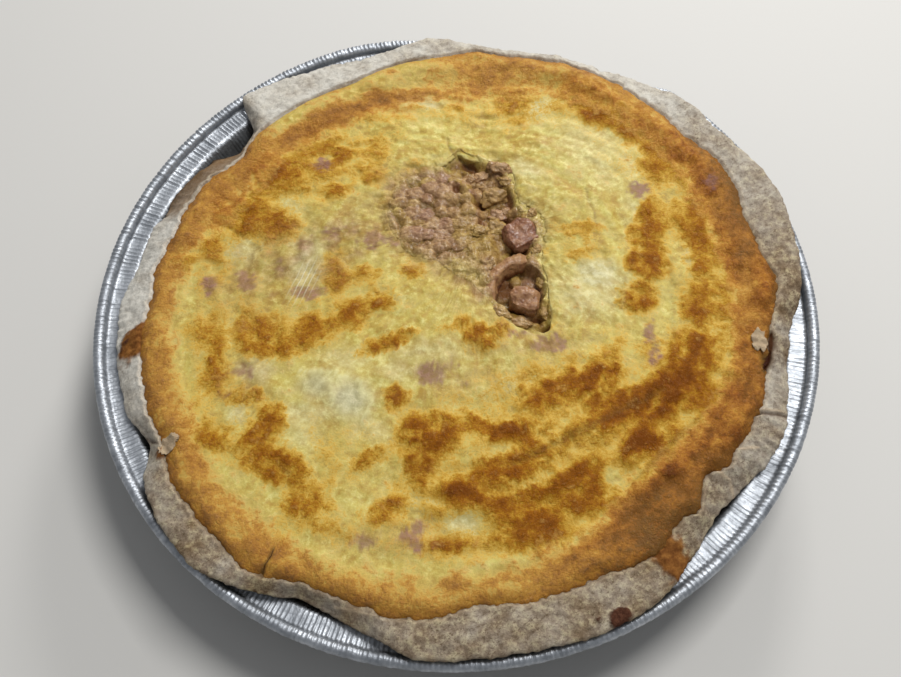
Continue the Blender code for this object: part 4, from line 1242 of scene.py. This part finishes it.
def pastry_layers(x, y, z):
    """What the pastry's material reads at each point, from 0 to 1."""
    angle = np.degrees(np.arctan2(y, x)) % 360
    outward = np.hypot(x, y) - border(angle)
    notch = within(NOTCH_STRETCH, angle)
    flour = read_table(FLOURY, angle) + 0.25 * relief(x, y, 9 * MM, 3, 23)
    browned_and_shaded = (
        # Painted shade: a dark line in the crease at the flap's inner edge
        0.6 * flap(angle) * bell(outward, 0.1 * MM, 0.4 * MM),
        0.7 * (1 - blend(-1 * MM, -0.1 * MM, outward)),
        # Darker low on the case: baked brown, and painted shade under the lip
        0.6 * (1 - blend(27.5 * MM, 30 * MM, z)),
        # Darker on the notch's wall: baked brown, and painted shade
        0.9 * notch * (1 - blend(28.4 * MM, 30.2 * MM, z)),
        0.7 * notch * blend(0.8 * MM, 1.8 * MM, outward),
    )
    return {
        "flour": np.clip(flour, 0, 1),
        "brown": np.max(browned_and_shaded, 0),
        # Painted highlight along the pastry's edge by the egg
        "edge_highlight": bell(outward, 0.5 * MM, 0.6 * MM) * (1 - flap(angle)),
        "shaded_crack": lines(x, y, DARK_CRACKS),
        "pale": lines(x, y, PALE_CRACKS),
        "spill": blend(0.25, 0.7, spots(x, y, SPILLS) + 0.3 * relief(x, y, 2.5 * MM, 3, 27)),
        "burnt": blend(0.35, 0.6, spots(x, y, BURNT) + 0.35 * relief(x, y, 1.8 * MM, 3, 28)),
    }


# Egg and cheese layer


def swirl(x, y, width, length, shift=0.0):
    """Random relief drawn out round the tart's middle, with hills of a width and a length."""
    radius = np.maximum(np.hypot(x, y), 1 * MM)
    turns = 60 * MM / length
    points = zip(radius / width, x / radius * turns, y / radius * turns + shift)
    return np.array([noise.fractal(Vector(point), 0.9, 2.0, 3) for point in points])


def knolls(x, y):
    """Small relief of the baked top, drawn out round the tart's middle."""
    return 0.55 * relief(x, y, KNOLL_SIZE, 4, 7) + 0.75 * swirl(x, y, KNOLL_SIZE, KNOLL_LENGTH, 5)


def ridges(x, y):
    """Soft ridges round the tart, from 0 in the troughs to 1 on the crests, and how strong they are."""
    crest = np.clip(0.5 + 0.9 * swirl(x, y, RIDGE_WIDTH, RIDGE_LENGTH, 3), 0, 1)
    return crest, spots(x, y, RIDGED) * blend(10 * MM, 30 * MM, np.hypot(x, y))


def skin_height(x, y):
    """Top of the egg and cheese layer: a puffed ring round a gently uneven field."""
    degrees = np.degrees(np.arctan2(y, x))
    inward = read_curve(EDGE, degrees) - np.hypot(x, y)
    puffed = PUFF_HEIGHT * np.clip(0.75 + 0.5 * relief(x, y, 14 * MM, 2, 19), 0.35, 1.1)
    height = SKIN_LEVEL + puffed * bell(inward, PUFF_MIDDLE, PUFF_WIDTH)
    for place_x, place_y, spread, rise in SWELLS:
        height = height + rise * MM * bell(np.hypot(x - place_x * MM, y - place_y * MM), 0, spread * MM)
    field = blend(0, EDGE_DIP_WIDTH, inward)
    height = height + RELIEF_HEIGHT * relief(x, y, RELIEF_SIZE) * field
    height = height + KNOLL_HEIGHT * knolls(x, y) * blend(0, 1 * MM, inward)
    crest, strength = ridges(x, y)
    height = height + RIDGE_HEIGHT * (crest - 0.5) * strength * blend(2 * MM, 8 * MM, inward)
    return height - (1 - field) * EDGE_DIP


def toasting(x, y):
    """How browned the top is, from scattered blisters and warm stretches between them."""
    warp_x, warp_y = wandered(x, y, BROAD_WANDER, FINE_WANDER)
    blisters = blend(0.12, 0.85, seen_spots(warp_x, warp_y, BROWNED, 1.06))
    warm = spots(warp_x, warp_y, WARM)
    crest, strength = ridges(x, y)
    knoll = knolls(x, y)
    broken = np.clip(0.96 + 0.4 * relief(x, y, 4.5 * MM, 3, 15) + 0.4 * knoll, 0.5, 1.2)
    uneven = np.clip(0.85 + 0.7 * relief(x, y, 6 * MM, 3, 16) + 0.6 * knoll, 0.3, 1.25)
    brown = 1 - (1 - 0.84 * blisters * broken) * (1 - 0.75 * warm * uneven)
    brown = brown * (1 - 0.35 * strength * (1 - crest)) + 0.15 * strength * warm * crest
    brown = brown * (0.82 + 0.24 * spots(x, y, DEEPEST))
    return brown * (1 - 0.85 * seen_spots(warp_x, warp_y, GAPS))


def ringing(x, y):
    """How strongly the toasted ring near the pastry shows; a strip at the far side stays plain."""
    degrees = np.degrees(np.arctan2(y, x)) % 360
    radius = np.hypot(x, y)
    inside = read_curve(RING_INSIDE, degrees)
    uneven = layered(x, y, RING_UNEVEN)
    share = blend(inside - RING_FADE, inside + RING_FADE, radius + uneven)
    shore = 0.2 * (1 - blend(0, 4 * MM, read_curve(EDGE, degrees) - radius))
    strip = within(PLAIN_STRETCH, degrees) * blend(*PLAIN_RADII, radius + uneven / 2)
    return (read_table(RING_TONES, degrees) + shore) * share * (1 - 0.7 * strip)


def torn_edge(bearing):
    """The tear's jagged edge, as a distance from its middle."""
    jag_x, jag_y, _ = ring(bearing, TEAR_TYPICAL, 0).T
    return read_curve(TEAR, bearing) + layered(jag_x, jag_y, TEAR_JAGS)


def flush(bearing):
    """1 where the filling rises level with the top, 0 where the top ends in a lip."""
    return within(FLUSH_STRETCH, bearing % 360)


def from_tear(x, y):
    """Each point's distance outside the tear's edge, and its bearing from the tear's middle."""
    away_x, away_y = x - TEAR_MIDDLE.x, y - TEAR_MIDDLE.y
    bearing = np.degrees(np.arctan2(away_y, away_x)) % 360
    return np.hypot(away_x, away_y) - torn_edge(bearing), bearing


def mince(x, y, grainy=1.0):
    """Minced ham: its relief in metres, how high in its lump each point is, and the lump's own number."""
    warp_x, warp_y = wandered(x, y, MINCE_WANDER)
    lump, own = scattered(warp_x, warp_y, LUMP_SPACING, 5)
    grain, _ = scattered(warp_x, warp_y, GRAIN_SPACING, 6)
    return LUMP_HEIGHT * lump + GRAIN_HEIGHT * grainy * grain, 0.7 * lump + 0.3 * grain, own


def tear_spokes(degrees, radius):
    """Spokes from the tear's middle to a ring about the tin's axis: directions, lengths and bearings."""
    spoke = ring(degrees, radius, 0)[:, :2] - np.array(TEAR_MIDDLE)
    length = np.hypot(*spoke.T)
    return spoke / length[:, None], length, np.degrees(np.arctan2(spoke[:, 1], spoke[:, 0]))


def spoke_ring(direction, distance, height_at):
    """Points at a distance along each spoke from the tear's middle, on a surface."""
    x = TEAR_MIDDLE.x + distance * direction[:, 0]
    y = TEAR_MIDDLE.y + distance * direction[:, 1]
    return np.stack([x, y, height_at(x, y)], 1)


def top_surface(x, y):
    """The baked top with its dip at the tear and mince that swells through near it."""
    height = skin_height(x, y)
    outside, bearing = from_tear(x, y)
    sunk = flush(bearing) * (1 - blend(0, LEVEL_FADE, outside))
    near = sunk > 0
    swelling = np.zeros(len(x))
    if near.any():
        lumps = mince(x[near], y[near], 1 - blend(0, 1.5 * MM, outside[near]))[0]
        swelling[near] = lumps * (1 - SWELL_CALMED * veil(x[near], y[near], outside[near]))
    height = height + (swelling - SHALLOW_DEPTH) * sunk
    rolled = (1 - flush(bearing)) * np.exp(-np.maximum(0, outside) / LIP_ROLL_WIDTH)
    return height - (LIP_ROLL + layered(x, y, LIP_UNEVEN)) * rolled


def make_skin():
    """Egg and cheese layer: between the pastry and the tear, open at the tear."""
    degrees = evenly(SKIN_SPOKES)
    shore = border(degrees)
    direction, length, bearing = tear_spokes(degrees, shore)
    tear = torn_edge(bearing)
    shares = [*(0.02 + 0.965 * np.linspace(0, 1, SKIN_RINGS) ** 1.15), 0.992, 0.997, 1]
    stops = [tear + near for near in NEAR_TEAR] + [tear + (length - tear) * share for share in shares]
    rings = [spoke_ring(direction, stop, top_surface) for stop in stops]
    for number, drop in EDGE_DROPS.items():
        rings[number][:, 2] -= drop
    top_count = sum(len(points) for points in rings)
    seat = np.minimum(inner_wall(degrees, CASE_INNER_HEIGHT), shore) - GAP
    rings.append(ring(degrees, seat, SKIN_UNDER))
    rings.append(spoke_ring(direction, tear + UNDER_BACK, lambda x, y: np.full(len(x), SKIN_UNDER)))
    fold = rings[0].copy()
    fold[:, 2] -= FOLD_DROP
    fold[:, :2] = np.array(TEAR_MIDDLE) + direction * (tear + FOLD_BACK)[:, None]
    rings.append(fold)
    mesh = loft("baked_top", rings)
    points = coordinates(mesh)
    layers = skin_layers(points[:, 0], points[:, 1])
    lift = 0.6 * blend(0.25, 0.7, layers["brown"]) - 0.5 * layers["crease"] + 0.45 * layers["raised"]
    lift += 0.15 * (layers["streak"] - 0.5) - 0.3 * layers["blister"]
    points[:top_count, 2] += MM * lift[:top_count]
    place(mesh, pressed(points))
    layers["brown"] *= 1 - 0.8 * np.maximum(layers["blister"], layers["raised"])
    layers["brown"] *= 1 - 0.7 * layers["mince"]
    layers["mince"] = np.clip(layers["mince"], 0, 1)
    layers["crease"] = np.clip(0.8 * layers["crease"], 0, 1)
    layers["raised"] *= 0.7
    layers["blister"] *= 0.9
    return add_piece(mesh, egg_material(), "egg_and_cheese", ["egg_cheese_top"], **layers)


def skin_layers(x, y):
    """What the top's relief and material read at each point, mostly from 0 to 1."""
    ham_x, ham_y = wandered(x, y, HAM_WANDER)
    milky_highlight_x, milky_highlight_y = wandered(x, y, MILKY_AND_HIGHLIGHT_WANDER)
    ham = seen_spots(ham_x, ham_y, HAM_BENEATH) * (1 + 0.8 * relief(x, y, 2 * MM, 3, 24))
    outside, bearing = from_tear(x, y)
    lip = (1 - flush(bearing)) * bell(outside, 0.6 * MM, 0.9 * MM)
    _, lump, own = mince(x, y)
    dull = 0.6 * spots(ham_x, ham_y, MEATY) * (0.8 + 0.8 * relief(x, y, 5 * MM, 3, 61))
    streak = swirl(x, y, 3 * MM, 16 * MM, 7) * blend(6 * MM, 24 * MM, np.hypot(x, y))
    return {
        "brown": toasting(x, y),
        "ring": ringing(x, y),
        "ham": 0.92 * blend(0.25, 0.7, ham),
        # The milky layer also holds a painted highlight along the tear's lip
        "milky_and_highlight": np.maximum(seen_spots(milky_highlight_x, milky_highlight_y, MILKY_AND_HIGHLIGHTS), 0.25 * lip),
        "mince": np.maximum(flush(bearing) * (1 - veil(x, y, outside)), dull),
        "lump": lump,
        "meat": np.clip(1.1 * own + 0.1, 0, 1),
        "crease": lines(0.5 * (x + ham_x), 0.5 * (y + ham_y), CREASES),
        "raised": lines(ham_x, ham_y, PALE_RIDGES),
        "blister": spots(x, y, BLISTER),
        "wrinkle": spots(x, y, WRINKLES),
        "streak": 0.5 + 0.2 * streak,
    }


# Ham filling


def channel_distance(x, y):
    """Distance from the middle line of the tear's deep channel."""
    line = np.array(CHANNEL) * MM
    return np.min([from_segment(x, y, start, end)[1] for start, end in zip(line, line[1:])], 0)


def depth_in_tear(x, y):
    """How deep the tear's channel is at each point, from 0 to 1."""
    return 1 - blend(CHANNEL_BED, CHANNEL_WIDTH, channel_distance(x, y) + layered(x, y, CHANNEL_UNEVEN))


def filling_bed(x, y):
    """The filling in the tear without its lumps, hollowed where a piece of ham lies in it."""
    deep = depth_in_tear(x, y)
    height = skin_height(x, y) - SHALLOW_DEPTH - (CHANNEL_DEPTH - SHALLOW_DEPTH) * deep
    height = height + CURD_RISE * spots(x, y, CURDS) - HOLLOW_DEPTH * spots(x, y, HOLLOWS)
    height = height + SHELF_RISE * spots(x, y, SHELVES) * deep
    outside, bearing = from_tear(x, y)
    height = height - 1.2 * MM * blend(-0.3 * MM, 2.5 * MM, outside)
    for middle_x, middle_y, reach in (SLAB_POCKET, CURL_POCKET):
        inside = 1 - blend(reach - POCKET_RIM, reach, np.hypot(x - middle_x, y - middle_y))
        height = height + np.minimum(0, POCKET_FLOOR - height) * inside
    return height


def veil(x, y, outside):
    """How far egg veils the filling where it rises level with the top, from the tear outwards."""
    return blend(VEIL_START, VEIL_END, outside + layered(x, y, VEIL_UNEVEN))


def plain_egg(x, y):
    """How far plain egg covers the filling: at the tear's edge and on the shelves."""
    outside, bearing = from_tear(x, y)
    level = flush(bearing)
    lip = blend(-4.5 * MM, -0.5 * MM, outside + layered(x, y, EGG_UNEVEN))
    return np.maximum(level * veil(x, y, outside) + 0.85 * (1 - level) * lip, 0.6 * spots(x, y, SHELVES))


def filling_top(x, y):
    """The filling's lumpy surface in the tear, with a bank of egg that slopes down from the lip."""
    calm = np.maximum(0.45 * spots(x, y, CURDS), SWELL_CALMED * plain_egg(x, y))
    height = filling_bed(x, y) + mince(x, y)[0] * (1 - calm)
    outside, bearing = from_tear(x, y)
    free = np.maximum(flush(bearing), 1 - blend(-3 * MM, -0.5 * MM, outside))
    lip = top_surface(x, y) - LIP_STEP
    bank = lip - BANK_SLOPE * np.maximum(0, -outside + layered(x, y, BANK_UNEVEN))
    beside_slab = 1 - blend(5.5 * MM, 8 * MM, np.hypot(x - SLAB_PLACE.x, y - SLAB_PLACE.y))
    bank = bank - HOLLOW_DEPTH * spots(x, y, HOLLOWS) - 6 * MM * np.maximum(flush(bearing), beside_slab)
    return np.minimum(np.maximum(height, bank), lip + 4 * MM * free)


def make_filling():
    """Ham filling: fills the case, and rises into the tear as minced ham and curd."""
    degrees = evenly(PLUG_SPOKES)
    direction, _, bearing = tear_spokes(degrees, read_curve(EDGE, degrees))
    plug = torn_edge(bearing) + 0.3 * MM + 4.5 * MM * flush(bearing)
    middle = filling_top(np.array([TEAR_MIDDLE.x]), np.array([TEAR_MIDDLE.y]))
    rings = [[(TEAR_MIDDLE.x, TEAR_MIDDLE.y, middle[0])]]
    for i in range(PLUG_RINGS):
        rings.append(spoke_ring(direction, plug * (i + 1) / PLUG_RINGS, filling_top))
    floor = FOIL + 2 * GAP + PASTRY
    rings.append(spoke_ring(direction, plug, lambda x, y: np.full(len(x), CASE_INNER_HEIGHT)))
    for level in (CASE_INNER_HEIGHT, *reversed(CASE_INSIDE_HEIGHTS)):
        rings.append(ring(degrees, inner_wall(degrees, level) - CASE_SLACK, level))
    rings.append(ring(degrees, CASE_FOOT_RADIUS - CASE_SLACK, floor))
    rings.append([(0, 0, floor)])
    mesh = loft("filling", rings)
    points = coordinates(mesh)
    x, y = points[:, 0], points[:, 1]
    _, lump, own = mince(x, y)
    curd = spots(x, y, CURDS)
    deep = depth_in_tear(x, y)
    meat = np.clip(1.1 * own + 0.1 - 0.5 * deep, 0, 1) * (1 - curd)
    # Painted shade: darker low in the deep channel and in the hollows
    dark = 0.35 * blend(0.5, 1, deep) * (1 - lump) + blend(0.3, 0.9, spots(x, y, HOLLOWS))
    return add_piece(
        mesh, FILLING, "filling", ["ham_filling"],
        lump=np.maximum(lump, curd * 0.8), meat=meat, deep=np.clip(dark, 0, 0.9), egg=plain_egg(x, y),
    )


def make_lumps():
    """Loose lumps of ham and curd in the tear's channel."""
    shape = bmesh.new()
    meats, heights = [], []
    for number, (x, y, length, width, tall, turn, meat) in enumerate(LUMPS):
        ball = bmesh.ops.create_icosphere(shape, subdivisions=5, radius=1)["verts"]
        bed = filling_bed(np.array([x * MM]), np.array([y * MM]))[0]
        middle = Vector((x * MM, y * MM, bed + 0.35 * tall * MM))
        seed = Vector((number * 7.3, 0, 0))
        for vertex in ball:
            outward = vertex.co.copy()
            rough = 1 + 0.42 * noise.noise(outward * 1.3 + seed) + 0.2 * noise.noise(outward * 3.1 + seed)
            rough += 0.05 * noise.noise(outward * 8 + seed)
            flat = turned(outward.x * length * rough, outward.y * width * rough, turn)
            vertex.co = middle + Vector((*flat, outward.z * tall * rough)) * MM
            meats.append(meat)
            # Height on each lump, which the mince colour turns into painted shade below and painted light
            # on top
            heights.append(0.5 + 0.5 * outward.z)
    return add_piece(mesh_of(shape, "lumps"), FILLING, "filling", lump=heights, meat=meats)


def chip_ring(number, degrees, share, down):
    """One ring of a chip, at a share of its size and a depth in mm below its face."""
    x, y, length, width, turn, lift = CHIPS[number]
    turns = np.radians(degrees)
    ragged = share * (1 + 0.3 * round_relief(degrees, 45 * MM, 3, 50 + number))
    along, across = length * ragged * np.cos(turns), width * ragged * np.sin(turns)
    ruffle = 0.35 * np.sin(2.2 * along + number) + 0.5 * share ** 2 * np.sin(2 * turns + number)
    away_x, away_y = turned(along, across, turn)
    ground = top_surface((x + away_x) * MM, (y + away_y) * MM) / MM
    return np.stack([x + away_x, y + away_y, ground + lift + ruffle - down], 1) * MM


def make_chips():
    """Thin ruffled chips of pastry that lie on the top."""
    degrees = evenly(CHIP_SPOKES)
    thick = CHIP_THICKNESS / MM
    for number in range(len(CHIPS)):
        upper = [chip_ring(number, degrees, share, 0) for share in CHIP_SHARES]
        lower = [chip_ring(number, degrees, share, thick) for share in CHIP_SHARES[-2::-1]]
        mesh = loft(f"chip_{number}", [[upper[0].mean(0)], *upper, *lower, [lower[-1].mean(0)]])
        some = np.ones(len(mesh.vertices))
        mottled = np.abs(np.sin(np.arange(len(some)) * 0.37))
        add_piece(mesh, CRUST, "pastry", flour=0.1 * some, brown=0.4 * mottled, pale=0.55 * some)


# Ham pieces


def pulled(cube, pulls):
    """How far a point of a unit cube moves when the cube's corners are pulled."""
    weights = [(0.5 - value, 0.5 + value) for value in cube]
    return Vector(np.einsum("i,j,k,ijkl->l", *weights, pulls))


def make_block(name, node, size, middle, turn, bump_size, bump_height, seed, pale):
    """An uneven block of ham with flat sides and soft edges."""
    pulls = np.random.default_rng(seed).uniform(-BLOCK_PULL, BLOCK_PULL, (2, 2, 2, 3))
    shape = bmesh.new()
    bmesh.ops.create_cube(shape, size=1)
    bmesh.ops.subdivide_edges(shape, edges=shape.edges[:], cuts=BLOCK_CUTS, use_grid_fill=True)
    for vertex in shape.verts:
        cube = vertex.co.copy()
        outward = cube.normalized()
        point = cube.lerp(outward * BLOCK_BALL, BLOCK_ROUNDNESS) + pulled(cube, pulls)
        point = Vector([a * b for a, b in zip(point, size)])
        point += outward * bump_height * noise.noise((point + middle) / bump_size)
        point += outward * 0.5 * MM * noise.noise((point + middle) / (2.6 * MM))
        point += outward * 0.25 * MM * noise.fractal(point / (1.1 * MM), 0.8, 2.0, 3)
        vertex.co = point
    shape.transform(Matrix.Translation(middle) @ Matrix.Rotation(math.radians(turn), 4, "Z"))
    mesh = mesh_of(shape, name)
    height = coordinates(mesh)[:, 2]
    # Painted shade: the block darkens towards its underside
    deep = 0.8 * (1 - blend(middle.z - 0.3 * size.z, middle.z, height))
    return add_piece(mesh, HAM, "ham", [node], deep=deep, pale=np.full(len(deep), pale))


def curl_point(along, across, side):
    """A point of the curled strip, from its share of the length, width and thickness."""
    turn = math.radians(CURL_START + CURL_TURN * along)
    middle = math.sin(math.pi * along)
    radius = CURL_RADIUS * (1.06 - 0.1 * middle) * (1 + 0.12 * (across - 0.5))
    thick = CURL_THICKNESS * (1.15 + 0.8 * (1 - along) ** 3)
    radius += side * thick / 2 * (0.8 + 0.2 * math.sin(math.pi * across))
    height = CURL_WIDTH * (across - 0.5) * (0.75 + 0.25 * middle)
    point = Vector((radius * math.cos(turn), radius * math.sin(turn), height)) + CURL_PLACE
    ruffle = noise.fractal(point / (2.6 * MM), 0.8, 2.0, 3)
    return point + Vector((math.cos(turn), math.sin(turn), 0.7)) * 0.4 * MM * ruffle


def make_curl():
    """A thin strip of ham that stands on its edge, curled round a hollow."""
    across = np.linspace(0, 1, CURL_ROWS)
    loop = [(a, 1) for a in across] + [(a, -1) for a in reversed(across)]
    rings = []
    for along in np.linspace(0, 1, CURL_STEPS):
        pinch = min(1, 6 * min(along, 1 - along) + 0.25)
        narrow = 0.8 + 0.2 * pinch
        points = [curl_point(along, 0.5 + (a - 0.5) * narrow, side * pinch) for a, side in loop]
        rings.append(np.array([list(point) for point in points]))
    mesh = loft("curl", [[rings[0].mean(0)], *rings, [rings[-1].mean(0)]])
    height = coordinates(mesh)[:, 2]
    # Painted shade: the strip darkens towards its lower part
    deep = 0.85 * (1 - blend(CURL_PLACE.z - 1.2 * MM, CURL_PLACE.z + 1.2 * MM, height))
    return add_piece(mesh, HAM, "ham", ["ham_curl"], deep=deep, pale=np.full(len(deep), 0.9))


# Light, floor and camera


def make_floor():
    """A wide pale table."""
    shape = bmesh.new()
    bmesh.ops.create_grid(shape, x_segments=4, y_segments=4, size=FLOOR_HALF_WIDTH)
    mesh = mesh_of(shape, "floor")
    mesh.materials.append(floor_material())
    floor = add_object("floor", mesh)


def area_light(name, position, size, power, colour):
    """A soft square light that faces the tart."""
    lamp = bpy.data.lights.new(name, "AREA")
    lamp.size = size
    lamp.energy = power
    lamp.color = colour
    light = add_object(name, lamp)
    light.location = position
    light.rotation_euler = (LIGHT_AIM - Vector(position)).to_track_quat("-Z", "Y").to_euler()


def make_light():
    """Soft light from the right, above and beyond the tart, in a dim room."""
    world = bpy.data.worlds.new("studio")
    bpy.context.scene.world = world
    world.use_nodes = True
    background = world.node_tree.nodes["Background"].inputs
    background["Color"].default_value = ROOM_COLOUR
    background["Strength"].default_value = ROOM_STRENGTH
    for name, (position, size, power, colour) in LIGHTS.items():
        area_light(name, position, size, power, colour)


def make_camera():
    """The photo's view."""
    lens = bpy.data.cameras.new("camera")
    lens.sensor_width = SENSOR
    lens.lens = LENS
    lens.clip_start = 10 * MM
    camera = add_object("camera", lens)
    facing = Matrix(camera_axes()).transposed().to_4x4()
    camera.matrix_world = Matrix.Translation(CAMERA_PLACE) @ facing
    bpy.context.scene.camera = camera


HAM = ham_material()
CRUST = pastry_material()
FILLING = filling_material()
make_tin()
make_pastry()
make_skin()
make_filling()
make_lumps()
make_chips()
make_block(
    "slab", "ham_slab", SLAB_SIZE, SLAB_PLACE, SLAB_TURN,
    bump_size=5 * MM, bump_height=0.7 * MM, seed=11, pale=0.1,
)
make_block(
    "chunk", "ham_chunk", CHUNK_SIZE, CHUNK_PLACE, CHUNK_TURN,
    bump_size=4 * MM, bump_height=0.9 * MM, seed=8, pale=0.55,
)
make_curl()
make_floor()
make_light()
make_camera()
bpy.context.scene.view_settings.view_transform = "Standard"
